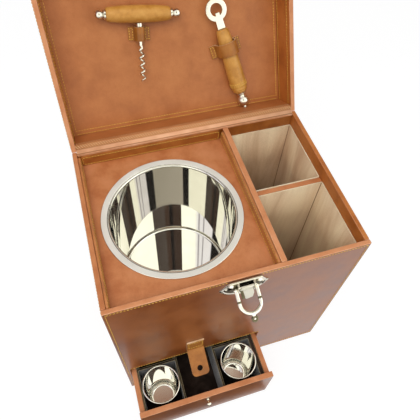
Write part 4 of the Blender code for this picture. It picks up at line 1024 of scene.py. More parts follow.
def latchTongue():
    shape = tongueShape
    reach, half, thick, back = shape["reach"], shape["half"], shape["thick"] / 2, shape["back"]
    left, tip = -half + shape["rib"], -reach * shape["tipAt"]
    outline = [
        (left, back), (half, back), (half, -reach * shape["shoulder"]), (half * shape["tipHalf"], tip),
        (left + shape["tipCorner"], -reach), (left, tip),
    ]
    bm = soften(slab(outline, -thick, thick, "xy"), shape["edge"])
    tube = [(shape["bore"], half), (shape["barrel"], half)]
    addSpun(bm, [*tube, *flipped(tube), tube[0]], 28, [(0, 0, 0)], 90, "Y")
    makePiece("latchTongue", moved(bm, latchTurned), [satinNickel], "latch_lever", "nickel", ["latch_lever"])
    ribLow = (-half, -reach * shape["ribAt"], -thick * shape["ribDrop"])
    rib = board(ribLow, (left - shape["ribGap"], shape["ribBack"], thick))
    moved(soften(rib, shape["ribEdge"]), latchTurned)
    makePiece("latchTongueRib", rib, [darkNickel], "latch_lever", "nickel", angle=35)


bailShape = dict(
    half=0.0128, reach=0.0296, wire=0.0023, tabReach=0.0360, tabRadius=0.0042, tabHole=0.0016,
    straight=0.5, neckWire=0.0022, neckRadii=(0.0030, 0.0020), neckAt=0.7,
    bandWire=0.0013, bandAt=0.85, bandHalf=0.0012, bandTop=0.0009, bandRise=0.0003,
    eye=(
        (0.00155, 0.0012), (0.0023, 0.0013), (0.0026, 0.0009), (0.0026, -0.0009), (0.0023, -0.0013),
        (0.00155, -0.0012), (0.00155, 0.0012),
    ),
    dome=(
        (0, 0.0021), (0.0008, 0.0019), (0.0015, 0.0012), (0.0019, 0.0002), (0.0019, -0.0002),
        (0.0015, -0.0012), (0, -0.0019),
    ),
)


def latchBail():
    shape = bailShape
    half, radius, reach, tab = shape["half"], shape["wire"], shape["tabReach"], shape["tabRadius"]
    bend = shape["reach"] - half
    straight = -bend * shape["straight"]
    path = [(-half, 0), (-half, straight), *arc(0, -bend, half, 180, 360, 32), (half, straight), (half, 0)]
    bm = wire([(x, y, 0) for x, y in path], radius, detail=5)
    addSpun(bm, shape["eye"], 28, [(-half, 0, 0), (half, 0, 0)], 90, "Y")
    neckEnds = [(0, -shape["reach"], 0), (0, -reach + tab * shape["neckAt"], 0)]
    neck = wire(neckEnds, shape["neckWire"], shape["neckRadii"])
    addSpun(joined(bm, neck), shape["dome"], 24, [(0, -reach, 0)])
    finished = moved(bm, latchTurned)
    # the bail is in the paler nickel, a painted highlight
    makePiece("latchBailWire", finished, [highlightNickel], "latch_bail", "nickel", ["latch_bail"], weighted=False)
    ring = arc((tab + shape["tabHole"]) / 2, 0, shape["bandWire"], 0, 360, 12)
    bands = addSpun(bmesh.new(), ring, 36, [(0, -reach, 0)])
    band = [(radius, shape["bandHalf"]), (radius + shape["bandRise"], shape["bandTop"])]
    joints = [(side * half, -bend * shape["bandAt"], 0) for side in (-1, 1)]
    addSpun(bands, band + flipped(band), 24, joints, 90)  # dark joints low on the legs
    moved(bands, latchTurned)
    makePiece("latchBailBands", bands, [darkNickel], "latch_bail", "nickel", weighted=False)


latchPlate()
latchHousing()
latchPin()
latchTongue()
latchBail()
print("latch made")


# Lid

lidShape = dict(
    half=0.165, depth=0.119, rim=0.3273, backRim=0.0013, top=0.380, wall=0.006, lining=0.3717, liningThick=0.002,
    seat=0.0003, strip=0.003, stripRim=0.3293, liningEdge=0.0008,
)


def lidPanel(name, low, high, finishes, node, inward, slotName):
    bm = soften(board(low, high), boardShape["edge"], boardShape["segments"], keep=awayFromHinge)
    paintBoard(bm, inward, rim=-1)
    makePiece(name, moved(bm, lidPose), finishes, "lid", slotName, [node])


def lidPanels():
    shape = lidShape
    half, depth, wall, seat = shape["half"], shape["depth"], shape["wall"], shape["seat"]
    inner, end, rim, top = half - wall, depth - wall, shape["rim"], shape["top"]
    wallTop, side, ends, lining = top - wall - seat, inner - seat, end - seat, shape["lining"]
    walls = [outerHide, wallHide, rimHide, edgeWearAndHighlight]
    # the lid's front wall is in the darker front hide, painted shade
    front = [shadedFrontHide, wallHide, rimHide, edgeWearAndHighlight]
    lidPanel(
        "lidTopPanel", (-half, -depth, top - wall), (half, depth, top), [outerHide] * 4,
        "lid_top_board", (0, 0, -1), "body_leather",
    )
    lidPanel(
        "lidFrontPanel", (-half, -depth, rim), (half, -end, wallTop), front,
        "lid_front_wall", (0, 1, 0), "front_leather",
    )
    lidPanel(
        "lidLeftPanel", (-half, -ends, rim), (-inner, depth, wallTop), walls,
        "lid_left_wall", (1, 0, 0), "body_leather",
    )
    lidPanel(
        "lidRightPanel", (inner, -ends, rim), (half, depth, wallTop), walls,
        "lid_right_wall", (-1, 0, 0), "body_leather",
    )
    lidPanel(
        "lidBackPanel", (-side, end, rim + shape["backRim"]), (side, depth, wallTop), walls,
        "lid_back_wall", (0, -1, 0), "body_leather",
    )
    stripLow = (-side, ends - shape["strip"], shape["stripRim"])
    for name, low, high, node in (
        ("lidLiningPanel", (-side, -ends, lining), (side, ends, lining + shape["liningThick"]), "lid_lining"),
        ("lidBackStrip", stripLow, (side, ends, lining - seat), "lid_back_strip"),
    ):
        bm = moved(soften(board(low, high), shape["liningEdge"]), lidPose)
        makePiece(name, bm, [liningHide], "lid", "lining_leather", [node])


lidSeamShape = dict(
    ring=0.0042, back=0.0064, hem=0.0012, wall=0.0034, turnIn=0.0096, rim=0.0034, edge=0.0036
)


def lidSeams():
    shape, gaps, seam = lidShape, lidSeamShape, []
    lift, proud = stitch["lift"], stitch["proud"]
    inner, end = shape["half"] - shape["wall"] - shape["seat"], shape["depth"] - shape["wall"] - shape["seat"]
    face, back = shape["lining"] - lift, end - shape["strip"]
    edge, rear, hem = inner - gaps["ring"], back - gaps["back"], back - gaps["hem"]
    down = (0, 0, -1)
    ring = rectangle(-edge, -end + gaps["ring"], edge, rear)
    sew(seam, [(x, y, face) for x, y in ring], down, closed=True)
    sew(seam, [(-edge, hem, face), (edge, hem, face)], down)
    up = face - gaps["wall"]
    for side in (-1, 1):
        wall = side * (inner - lift)
        sew(seam, [(wall, -end, up), (wall, back, up)], (-side, 0, 0))
    sew(seam, [(-inner, -end + lift, up), (inner, -end + lift, up)], (0, 1, 0))
    turnIn = shape["rim"] + gaps["turnIn"]  # the hide turns in over the rim and is sewn there
    for side in (-1, 1):
        wall = side * (inner - lift)
        sew(seam, [(wall, -end, turnIn), (wall, back, turnIn)], (-side, 0, 0))
    low, high = shape["rim"] + gaps["rim"], shape["top"] - gaps["edge"]
    wide, deep = shape["half"] - gaps["edge"], shape["depth"] - gaps["edge"]
    for side in (-1, 1):
        wall = side * (shape["half"] + proud)
        sew(seam, [(wall, y, z) for y, z in rectangle(-deep, low, deep, high)], (side, 0, 0), closed=True)
    for side in (-1, 1):
        wall = side * (shape["depth"] + proud)
        sew(seam, [(x, wall, z) for x, z in rectangle(-wide, low, wide, high)], (0, side, 0), closed=True)
    top = shape["top"] + proud
    sew(seam, [(x, y, top) for x, y in rectangle(-wide, -deep, wide, deep)], (0, 0, 1), closed=True)
    makeSeam("lidSeams", seam, "lid", lidPose)


gussetShape = dict(
    half=0.1589, thick=0.0005, hem=0.1137, crease=0.1149, turn=0.1206, turnEnd=0.1166,
    bodyPath=(
        (0.1130, 0.3256), (0.1132, 0.3266), (0.1139, 0.3272), (0.1145, 0.3270), (0.1151, 0.3273),
        (0.1164, 0.3275), (0.1177, 0.3278), (0.1190, 0.3281), (0.1200, 0.3284),
    ),
    lidPath=(
        (0.1166, 0.3279), (0.1152, 0.3279), (0.1134, 0.3280), (0.1116, 0.3282), (0.1104, 0.3286),
        (0.1096, 0.3293), (0.1092, 0.3304), (0.1092, 0.3320), (0.1092, 0.3336), (0.1096, 0.3340),
    ),
    blendStart=(0, 0.1198, 0.3283), blendEnd=(0, 0.1210, 0.3287),
    welt=0.0009, weltHalf=0.1588, weltEnd=0.0004, weltShoulder=0.7, weltIn=-0.0006,
    whipPitch=0.0034, overLength=0.0038, turnLength=0.0082,
    over=((-0.0030, 0.1090, 0.3330), (-0.0022, 0.1091, 0.3296)),  # one whip stitch up the lid's strip
    under=((-0.0022, 0.1098, 0.3286), (0.0022, 0.1164, 0.3276)),  # and the next over its rim
)


def gusset():  # thin hide from the body's back rim over the hinge and the lid's strip, oversewn there
    shape = gussetShape
    half, closed = shape["half"], lidPose.inverted()
    path = [Vector((0, *point)) for point in shape["bodyPath"]]
    path += [lidPose @ Vector((0, *point)) for point in shape["lidPath"]]
    bm = bmesh.new()
    ring = [bm.verts.new((-half, point.y, point.z)) for point in path]
    edges = [bm.edges.new(pair) for pair in zip(ring, ring[1:])]
    grown = bmesh.ops.extrude_edge_only(bm, edges=edges)
    ends = [part for part in grown["geom"] if isinstance(part, bmesh.types.BMVert)]
    bmesh.ops.translate(bm, vec=(2 * half, 0, 0), verts=ends)
    bmesh.ops.recalc_face_normals(bm, faces=bm.faces)
    if sum(face.normal.z * face.calc_area() for face in bm.faces) < 0:
        bmesh.ops.reverse_faces(bm, faces=bm.faces)

    def layer(normal, centre):  # pale hem in the rubbed edge hide with its painted highlight, its crease in the darker strip hide as painted shade, smooth hide, and the oversewn turn on the lid in darker lining hide as painted shade under its threads
        if centre.y < shape["hem"]:
            return 1
        if centre.y < shape["crease"]:
            return 2
        return 3 if centre.y > shape["turn"] and (closed @ centre).y < shape["turnEnd"] else 0
    paint(bm, layer)
    finishes, nodes = [gussetHideAndHighlight, edgeWearAndHighlight, darkStripAndShadeHide, liningHide], ["body_gusset", "lid_gusset"]
    piece = makePiece(
        "hingeGusset", bm, finishes, "case", "gusset_leather", nodes, angle=70, weighted=False, ride=False
    )
    hideSheet = piece.modifiers.new("thickness", "SOLIDIFY")
    hideSheet.thickness = shape["thick"]
    hideSheet.offset = -1
    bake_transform(piece)
    radius, end, shoulder = shape["welt"], shape["weltHalf"], shape["welt"] * shape["weltShoulder"]
    profile = [(0, -end), (shoulder, -end), (radius, -end + shape["weltEnd"])]
    profile += flipped(profile)
    welt = moved(spun(profile, 16), placed(hinge + Vector((0, shape["weltIn"], 0)), 90, "Y"))
    makePiece("hingeWelt", welt, [darkStripAndShadeHide], "case", "gusset_leather", weighted=False)
    seams = []
    count = round(2 * half / shape["whipPitch"])
    for i in range(count):
        along = Vector((-half + 2 * half * (i + 0.5) / count, 0, 0))
        for name, normal, length in (("over", (0, -1, 0), "overLength"), ("under", (0, 0, -1), "turnLength")):
            ends = [along + Vector(point) for point in shape[name]]
            sew(seams, ends, normal, pitch=1.0, length=shape[length])
    makeSeam("gussetWhipStitch", seams, "lid", lidPose, paleThread)


lidPanels()
lidSeams()
gusset()
print("lid made")


# Bar tools held in the lid

corkscrewShape = dict(
    place=(-0.040337, -0.03859, 0.3604), tilt=5.5, seat=0.0003, grip=0.0110, half=0.042,
    gripWaist=0.55, gripSwell=0.0004,  # where the grip is almost full, as a share of its half length
    shank=0.022, shankRadius=0.0024, collar=0.004, collarRadius=0.0042, collarEdge=0.0004,
    lead=0.005, turns=5, pitch=0.010, coil=0.0030, wireRadius=0.0015, point=0.12, steps=24,
    gripEnd=((0, 0), (0.0075, 0), (0.0085, 0.001), (0.0091, 0.004)),  # radius, and in from the end
    cap=((0, 0), (0.0065, 0), (0.0065, 0.0022), (0.0058, 0.0030), (0.0040, 0.0034)), capBall=0.0060, capAt=0.0082,
)


def corkscrew():
    shape = corkscrewShape
    turned = lidPose @ placed(shape["place"], shape["tilt"], "Z")
    start = shape["grip"] + shape["seat"]
    shankEnd, collar = start + shape["shank"], start + shape["collar"]
    path = [(0, start, 0), (0, collar, 0), (0, collar + shape["collarEdge"], 0), (0, shankEnd, 0)]
    radii = [shape["collarRadius"]] * 2 + [shape["shankRadius"]] * 2
    count = shape["turns"] * shape["steps"]
    for i in range(1, count + 1):
        turn = i / shape["steps"]
        swing = min(1, turn) * shape["coil"]
        height = shankEnd + shape["lead"] + turn * shape["pitch"]
        path.append((swing * sin(tau * turn), height, swing * cos(tau * turn)))
        taper = min(1, (count - i + 1) / shape["steps"])
        full = shape["wireRadius"] + max(0, 1 - turn) * (shape["shankRadius"] - shape["wireRadius"])
        radii.append(full * max(taper, shape["point"]))
    worm = moved(wire(path, shape["wireRadius"], radii), turned)
    steel = dict(finishes=[toolSteel], body="corkscrew", slotName="tool_steel", weighted=False)
    makePiece("corkscrewWorm", worm, nodes=["corkscrew_worm"], **steel)
    half, wide = shape["half"], shape["grip"]
    profile = [(radius, half - drop) for radius, drop in shape["gripEnd"]]
    profile += [(wide - shape["gripSwell"], half * shape["gripWaist"]), (wide, 0)]
    grip = moved(spun(profile + flipped(profile[:-1]), 48), turned @ placed((0, 0, 0), 90, "Y"))
    makePiece(
        "corkscrewGripWrap", grip, [gripHide], "corkscrew", "tool_leather", ["corkscrew_grip"], weighted=False
    )
    cap = [*shape["cap"], *arc(0, shape["capAt"], shape["capBall"], -52, 90, 14)]
    for node, side in (("corkscrew_cap_left", -1), ("corkscrew_cap_right", 1)):
        matrix = turned @ placed((side * (half + shape["seat"]), 0, 0), side * 90, "Y")
        makePiece(camel(node), moved(spun(cap, 40), matrix), nodes=[node], **steel)


openerShape = dict(
    place=(0.0952, 0.0985, 0.3592), tilt=-13.1, seat=0.0003, grip=0.0122, neck=0.0066, gripEnd=0.1067,
    ball=0.0082, tipReach=0.0112, tipRadius=0.0025, tipFoot=0.7, tipSunk=0.97,
    tip=((0, 0), (0.6, 0), (1, 0.0006), (0.95, 0.0022)),  # share of its radius, and down from its end
    collarRadius=0.0054, collarLength=0.0052, collarFoot=1.14,
    collar=(  # share of its radius, and down from the ball
        (0.80, -0.0003), (0.78, 0.0008), (1, 0.0014), (1.08, 0.0024), (0.94, 0.0034), (1.10, 0.0042),
    ),
    hemRoll=0.0016, hemRollDrop=0.0003,
    hem=(  # the grip's folded end: radius, and down from its start
        (0.0094, 0.0016), (0.0103, 0.0034), (0.0101, 0.0042), (0.0110, 0.0052), (0.0115, 0.0074),
        (0.0112, 0.0083), (0.0118, 0.0094),
    ),
    swell=((1, 0.0130), (1, 0.028), (0.94, 0.050)),  # share of the grip's radius, and down from its start
    taper=(0.84, 0.014), neckRoll=0.002,  # at the far end: share of the radius, and back from the end
    hemStitches=26, hemRows=((0.0118, 0.0009), (0.0150, -0.0009)), hemHalf=0.0011, hemLength=0.0030,
    head=0.0150, headNeck=0.0055, headReach=0.026, mouth=0.0085, tongue=0.0045, tongueHalf=0.0030,
    thick=0.0030, edge=0.0005,
)


def opener():
    shape = openerShape
    turned = lidPose @ placed(shape["place"], shape["tilt"], "Z")
    along = turned @ placed((0, 0, 0), -90)  # the turned shape's Z runs to the tip
    ball, tip, collar = shape["ball"], shape["tipRadius"], shape["collarRadius"]
    foot = ball + shape["collarLength"]
    profile = [(tip * share, shape["tipReach"] - drop) for share, drop in shape["tip"]]
    profile += [(tip * shape["tipFoot"], ball * shape["tipSunk"])]
    profile += arc(0, 0, ball, 68, -52, 16)
    profile += [(collar * share, -ball - drop) for share, drop in shape["collar"]]
    profile += [(collar * shape["collarFoot"], -foot), (0, -foot)]
    finial = moved(spun(profile, 56), along)
    makePiece("openerFinial", finial, [toolSteel], "opener", "tool_steel", ["opener_finial"], weighted=False)
    low, high = foot + shape["seat"], shape["gripEnd"]
    wide, neck, roll = shape["grip"], shape["neck"], shape["neckRoll"]
    taper, taperEnd = shape["taper"]
    grip = [(0, -low), (neck, -low), (neck + shape["hemRoll"], -low - shape["hemRollDrop"])]
    grip += [(radius, -low - drop) for radius, drop in shape["hem"]]
    grip += [(wide * share, -low - drop) for share, drop in shape["swell"]]
    grip += [(wide * taper, -high + taperEnd), (neck + roll, -high + roll), (neck, -high), (0, -high)]
    wrap = moved(spun(grip, 56), along)
    makePiece("openerGripWrap", wrap, [gripHide], "opener", "tool_leather", ["opener_grip"], weighted=False)
    seams = []
    for i in range(shape["hemStitches"]):
        angle = tau * i / shape["hemStitches"]
        outward = Vector((cos(angle), sin(angle), 0))
        around = Vector((-sin(angle), cos(angle), 0))
        for drop, lean in shape["hemRows"]:
            centre = outward * (shape["grip"] + stitch["lift"]) + Vector((0, 0, -low - drop))
            slant = around * lean + Vector((0, 0, shape["hemHalf"]))
            sew(seams, [centre - slant, centre + slant], outward, pitch=1.0, length=shape["hemLength"])
    makeSeam("openerHemStitch", seams, "opener", along)
    foot, neckHalf, mouth, tongue = -high - shape["seat"], shape["headNeck"], shape["mouth"], shape["tongueHalf"]
    centre = foot - shape["headReach"]
    outline = [(-neckHalf, foot), (neckHalf, foot)] + arc(0, centre, shape["head"], 69, -249, 40)
    lip = centre + mouth - shape["tongue"]
    hole = arc(0, centre, mouth, 111, 429, 30) + [(tongue, lip), (-tongue, lip)]
    bm = pierced([outline, hole], -shape["thick"] / 2, shape["thick"] / 2, "xy")
    moved(soften(bm, shape["edge"]), turned)
    makePiece("openerHead", bm, [toolSteel], "opener", "tool_steel", ["opener_head"])


loopShape = dict(
    thick=0.0020, clear=0.0004, foot=0.0085, width=0.018, ceiling=0.3714, shoulder=0.001, edge=0.0004, cutFacing=0.7,
    corkscrewRadius=0.0040, corkscrewGap=0.0005, openerAt=0.0795,
    seamIn=0.0022, seamOut=0.0018, seamEnd=0.002, seamPitch=0.0034, seamLength=0.0024,
)


def toolLoop(name, node, tool, radius, reach):  # a hide loop round a tool, sewn down at both feet
    shape = loopShape
    x, y, z = tool["place"]
    tilt, drop, thick = radians(tool["tilt"]), shape["ceiling"] - z, shape["thick"]
    place = (x - sin(tilt) * reach, y + cos(tilt) * reach, shape["ceiling"])
    inner = radius + shape["clear"]
    outer = inner + thick
    foot, shoulder = outer + shape["foot"], outer + shape["shoulder"]
    points = [(-foot, 0), (-foot, -thick), (-shoulder, -thick)] + arc(0, -drop, outer, 180, 360, 24)
    points += [(shoulder, -thick), (foot, -thick), (foot, 0), (inner, 0)]
    points += arc(0, -drop, inner, 360, 180, 24) + [(-inner, 0)]
    bm = soften(slab(points, -shape["width"] / 2, shape["width"] / 2, "xz"), shape["edge"])
    paint(bm, lambda n, c: 1 if abs(n.y) > shape["cutFacing"] else 0)
    matrix = lidPose @ placed(place, tool["tilt"], "Z")
    makePiece(name, moved(bm, matrix), [strapHide, rawEdge], "lid", "strap_leather", [node])
    seams, face, end = [], -thick - stitch["lift"], shape["width"] / 2 - shape["seamEnd"]
    for side in (-1, 1):
        ring = rectangle(side * (outer + shape["seamIn"]), -end, side * (foot - shape["seamOut"]), end)
        path = [(a, b, face) for a, b in ring]
        sew(seams, path, (0, 0, -1), shape["seamPitch"], shape["seamLength"], closed=True)
    makeSeam(name + "Seams", seams, "lid", matrix)


def toolLoops():
    shape, tool = loopShape, corkscrewShape
    reach = tool["grip"] + tool["seat"] + tool["collar"] + shape["corkscrewGap"] + shape["width"] / 2
    toolLoop("corkscrewLoop", "corkscrew_loop", tool, shape["corkscrewRadius"], reach)
    toolLoop("openerLoop", "opener_loop", openerShape, openerShape["grip"], -shape["openerAt"])


corkscrew()
opener()
toolLoops()
print("bar tools made")


# Carry handle and catch on the outside of the lid

handleShape = dict(
    spread=0.070, plateHalfX=0.010, plateHalfY=0.017, plateCorner=0.004, plateThick=0.0015, seat=0.0003, edge=0.0005,
    lug=0.0048, lugHalf=0.004, lugFoot=0.0008, lugHole=0.0025, pinRise=0.0102, hang=28.6,
    rivet=((0, 0.0014), (0.0012, 0.0012), (0.0022, 0.0006), (0.0026, 0)), rivetAt=0.0118,
    wireRadius=0.0022, reach=0.034, stub=0.003, corner=0.008, grip=0.0082, gripEnd=0.0062, gripHalf=0.052,
    gripEdge=0.0006, gripSwell=0.0004, gripShoulder=0.004, gripWaist=0.72, gripClear=0.0003,
    seamHalf=0.0011, seamReach=0.9, seamSink=0.995, seamPitch=0.0042, seamLength=0.003,
)


def handleMounts():
    shape = handleShape
    base, pin, lug = lidShape["top"] + shape["seat"], lidShape["top"] + shape["pinRise"], shape["lug"]
    halfX, halfY = shape["plateHalfX"], shape["plateHalfY"]
    foot, top = base + shape["lugFoot"], base + shape["plateThick"]
    ear = [(lug, foot), (lug, pin)] + arc(0, pin, lug, 0, 180, 16)[1:-1] + [(-lug, pin), (-lug, foot)]
    hole = arc(0, pin, shape["lugHole"], 0, 360, 24)[:-1]
    for node, side in (("handle_mount_left", -1), ("handle_mount_right", 1)):
        x = side * shape["spread"]
        plate = roundedBox(x - halfX, -halfY, x + halfX, halfY, shape["plateCorner"], 5)
        bm = soften(slab(plate, base, top, "xy"), shape["edge"])
        ears = pierced([ear, hole], x - shape["lugHalf"], x + shape["lugHalf"], "yz")
        joined(bm, soften(ears, shape["edge"]))
        addSpun(bm, shape["rivet"], 24, [(x, -shape["rivetAt"], top), (x, shape["rivetAt"], top)])
        makePiece(camel(node), moved(bm, lidPose), [nickelPlate], "lid", "nickel", [node])


def handle():
    shape = handleShape
    pin = (0, 0, lidShape["top"] + shape["pinRise"])
    turned = lidPose @ placed(pin, shape["hang"])
    stub, corner, reach = shape["stub"], shape["corner"], shape["reach"]
    outside = shape["spread"] + shape["lugHalf"] + stub + shape["wireRadius"]
    inside = shape["spread"] - shape["lugHalf"] - stub
    right = [(inside, 0), (shape["spread"], 0)] + arc(outside - stub, stub, stub, -90, 0, 8)
    right += arc(outside - corner, reach - corner, corner, 0, 90, 12)
    path = [(x, y, 0) for x, y in right] + [(-x, y, 0) for x, y in reversed(right)]
    bm = moved(wire(path, shape["wireRadius"], detail=5), turned)
    makePiece("handleWire", bm, [nickelPlate], "handle", "nickel", ["handle_bail"], weighted=False)
    half, wide, end = shape["gripHalf"], shape["grip"], shape["gripEnd"]
    bore, edge, waist = shape["wireRadius"] + shape["gripClear"], shape["gripEdge"], half * shape["gripWaist"]
    profile = [(bore, half), (end - edge, half), (end, half - edge)]
    profile += [(end + shape["gripSwell"], half - shape["gripShoulder"]), (wide, waist)]
    profile += flipped(profile) + [(bore, half)]
    matrix = turned @ placed((0, reach, 0))
    grip = moved(spun(profile, 48), matrix @ placed((0, 0, 0), 90, "Y"))
    makePiece(
        "handleGripWrap", grip, [darkStripAndShadeHide], "handle", "handle_leather", ["handle_grip"], weighted=False
    )
    seams, out, far = [], wide * shape["seamSink"], half * shape["seamReach"]
    for row in (-shape["seamHalf"], shape["seamHalf"]):
        sew(seams, [(-far, out, row), (far, out, row)], (0, 1, 0), shape["seamPitch"], shape["seamLength"])
    makeSeam("handleGripSeam", seams, "handle", matrix)


catchShape = dict(
    half=0.010, thick=0.0014, bottom=0.3293, height=0.021, corner=0.003, seat=0.0003, edge=0.0005,
    hookHalf=0.0032, hookReach=0.0105, hookTop=0.33825, hookThick=0.0018,
    rivet=((0, 0.0010), (0.0010, 0.0008), (0.0016, 0.0003), (0.0018, 0)), rivetAt=0.0062, rivetDrop=0.005,
)


def lidCatch():
    shape = catchShape
    half, bottom, thick, depth = shape["half"], shape["bottom"], shape["thick"], lidShape["depth"]
    face, top, hookTop, hook = -depth - shape["seat"], bottom + shape["height"], shape["hookTop"], shape["hookHalf"]
    plate = slab(roundedBox(-half, bottom, half, top, shape["corner"], 5), face - thick, face, "xz")
    bm = soften(plate, shape["edge"])
    low = (-hook, -depth - shape["hookReach"], hookTop - shape["hookThick"])
    joined(bm, soften(board(low, (hook, face - thick / 2, hookTop)), shape["edge"]))
    places = [(x, face - thick, top - shape["rivetDrop"]) for x in (-shape["rivetAt"], shape["rivetAt"])]
    addSpun(bm, shape["rivet"], 20, places, 90)
    makePiece("lidCatchPlate", moved(bm, lidPose), [nickelPlate], "lid", "nickel", ["lid_catch"])


handleMounts()
handle()
lidCatch()
print("handle and catch made")


# Studio

studio = dict(
    world=0.55, floorSize=6.0, floorDrop=0.0005, paper="#F2F2F2", paperBounce="#A8A8A8", paperGlow=1.12,
    glowShare=0.75, wobbleScale=2.2, wobble=0.07, panelPower=3.0, panelGain=1.3, panelBase=0.9,
)
# Bright screens and dark gaps round the case, by share of a turn from the west
studioPanels = [
    (0.000, "#E8E6EA"), (0.020, "#E8E6EA"), (0.024, "#968E96"), (0.030, "#E8E6EA"), (0.052, "#E8E6EA"),
    (0.057, "#A098A0"), (0.064, "#E8E6EA"), (0.090, "#F6F6E8"), (0.538, "#F6F6E8"), (0.546, "#1C1613"),
    (0.600, "#1C1613"), (0.608, "#CCC5B9"), (0.886, "#C2BBAE"), (0.894, "#1C1613"), (0.956, "#1C1613"),
    (0.964, "#E8E6EA"),
]


def studioWorld():
    world = bpy.data.worlds.new("studio")
    bpy.context.scene.world = world
    world.use_nodes = True
    tree = world.node_tree
    tree.nodes.clear()
    path = addNode(tree, "LightPath")
    direction = addNode(tree, "TexCoord").outputs["Generated"]
    parts = addNode(tree, "SeparateXYZ", links={"Vector": direction})
    azimuth = addNode(tree, "Math", {"operation": "ARCTAN2"}, links={0: parts.outputs["Y"], 1: parts.outputs["X"]})
    wobble = addNode(
        tree, "TexNoise", values={"Scale": studio["wobbleScale"], "Detail": 2.0}, links={"Vector": direction}
    )
    shift = addNode(
        tree, "MapRange", values={**noiseMiddle, "To Min": -studio["wobble"], "To Max": studio["wobble"]},
        links={"Value": wobble.outputs["Fac"]},
    )
    bent = addNode(tree, "Math", {"operation": "ADD"}, links={0: shift.outputs["Result"], 1: azimuth.outputs["Value"]})
    turn = addNode(tree, "MapRange", values={"From Min": -pi, "From Max": pi}, links={"Value": bent.outputs["Value"]})
    panels = addNode(tree, "ValToRGB", links={"Fac": turn.outputs["Result"]})
    setRamp(panels, studioPanels)
    tint = addNode(tree, "SeparateColor", links={"Color": panels.outputs["Color"]})
    glow = addNode(tree, "Math", {"operation": "POWER"}, {1: studio["panelPower"]}, {0: tint.outputs["Red"]})
    power = addNode(
        tree, "Math", {"operation": "MULTIPLY_ADD"}, {1: studio["panelGain"], 2: studio["panelBase"]},
        {0: glow.outputs["Value"]},
    )
    soft = addNode(tree, "Background", values={"Color": (1, 1, 1, 1), "Strength": studio["world"]})
    white = addNode(tree, "Background", values={"Color": (1, 1, 1, 1), "Strength": 1.0})
    room = addNode(tree, "Background", links={"Color": panels.outputs["Color"], "Strength": power.outputs["Value"]})
    glossy, direct = path.outputs["Is Glossy Ray"], path.outputs["Is Camera Ray"]
    mirrored = addNode(tree, "MixShader", links={0: glossy, 1: soft.outputs[0], 2: room.outputs[0]})
    seen = addNode(tree, "MixShader", links={0: direct, 1: mirrored.outputs[0], 2: white.outputs[0]})
    addNode(tree, "OutputWorld", links={"Surface": seen.outputs[0]})


lampShape = dict(
    softbox=dict(place=(-0.35, -0.55, 1.55), aim=(0, 0, 0.25), size=1.0, power=11.5),
    fill=dict(place=(1.3, -0.9, 0.9), aim=(0, 0, 0.2), size=0.9, power=2.0),
)


def softLamp(name, place, aim, size, power):
    data = bpy.data.lights.new(name, "AREA")
    data.shape = "RECTANGLE"
    data.size = data.size_y = size
    data.energy = power
    lamp = linked(name, data)
    lamp.location = place
    lamp.rotation_euler = (Vector(aim) - Vector(place)).to_track_quat("-Z", "Y").to_euler()
    return lamp


def stageMesh(name, bm, material):
    mesh = bpy.data.meshes.new(name)
    bm.to_mesh(mesh)
    bm.free()
    mesh.materials.append(material)
    return linked(name, mesh)


def emptyMaterial(name):
    material = bpy.data.materials.new(name)
    material.use_nodes = True
    material.node_tree.nodes.clear()
    return material, material.node_tree


# Dimly glowing cards by the camera, seen only in reflections: painted dark reflections in the steel and the polished
# front
cardShape = dict(
    floorLow=(-0.45, -0.695), floorHigh=(0.05, -0.195), floorHeight=0.001, floorTone=[(0, "#3C2A1E"), (1, "#3C2A1E")],
    flagLow=(-0.27, 0.70), flagHigh=(0.185, 1.55), flagBack=-0.36,
    flagTone=[
        (0, "#48362C"), (0.28, "#48362C"), (0.32, "#1E1612"), (0.40, "#1E1612"), (0.44, "#4E3A2E"),
        (0.54, "#4E3A2E"), (0.58, "#5E544D"), (1, "#564B45"),
    ],
)


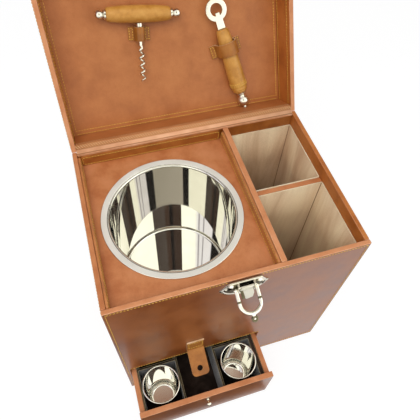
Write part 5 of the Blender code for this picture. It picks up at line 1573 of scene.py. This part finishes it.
def reflectionCard(name, plane, low, high, offset, tones):  # a dimly glowing card seen only in reflections, a painted reflection
    reflectionGlow, tree = emptyMaterial(name + "Felt")
    parts = addNode(tree, "SeparateXYZ", links={"Vector": addNode(tree, "TexCoord").outputs["Object"]})
    limits = {"From Min": low[0], "From Max": high[0]}
    across = addNode(tree, "MapRange", values=limits, links={"Value": parts.outputs["X"]})
    tone = addNode(tree, "ValToRGB", links={"Fac": across.outputs["Result"]})
    setRamp(tone, tones)
    cardGlow = addNode(tree, "Emission", values={"Strength": 1.0}, links={"Color": tone.outputs["Color"]})
    addNode(tree, "OutputMaterial", links={"Surface": cardGlow.outputs[0]})
    bm = bmesh.new()
    bm.faces.new([bm.verts.new(spot(plane, a, b, offset)) for a, b in rectangle(*low, *high)])
    card = stageMesh(name, bm, reflectionGlow)
    card.visible_camera = card.visible_diffuse = card.visible_shadow = card.visible_transmission = False


def reflectionCards():
    shape = cardShape
    reflectionCard("floorCard", "xy", shape["floorLow"], shape["floorHigh"], shape["floorHeight"], shape["floorTone"])
    reflectionCard("cameraFlag", "xz", shape["flagLow"], shape["flagHigh"], shape["flagBack"], shape["flagTone"])


def paperFloor():  # seamless background paper, white to the camera and duller to the leather
    paper, tree = emptyMaterial("matWhitePaper")
    path = addNode(tree, "LightPath")
    lit = addNode(tree, "BsdfDiffuse", values={"Color": fromHex(studio["paper"])})
    bounce = addNode(tree, "BsdfDiffuse", values={"Color": fromHex(studio["paperBounce"])})
    white = addNode(tree, "Emission", values={"Color": (1, 1, 1, 1), "Strength": studio["paperGlow"]})
    bright = addNode(
        tree, "MixShader", values={0: studio["glowShare"]}, links={1: lit.outputs[0], 2: white.outputs[0]}
    )
    viewed = addNode(
        tree, "Math", {"operation": "MAXIMUM"},
        links={0: path.outputs["Is Camera Ray"], 1: path.outputs["Is Glossy Ray"]},
    )
    mixed = addNode(tree, "MixShader", links={0: viewed.outputs[0], 1: bounce.outputs[0], 2: bright.outputs[0]})
    addNode(tree, "OutputMaterial", links={"Surface": mixed.outputs[0]})
    bm = bmesh.new()
    bmesh.ops.create_grid(bm, x_segments=1, y_segments=1, size=studio["floorSize"] / 2)
    floor = stageMesh("studioFloor", bm, paper)
    floor.location.z = -studio["floorDrop"]


studioWorld()
paperFloor()
reflectionCards()
softLamp("overheadSoftbox", **lampShape["softbox"]).visible_glossy = False
softLamp("sideFill", **lampShape["fill"])
bpy.context.scene.view_settings.view_transform = "Standard"
print("studio set")
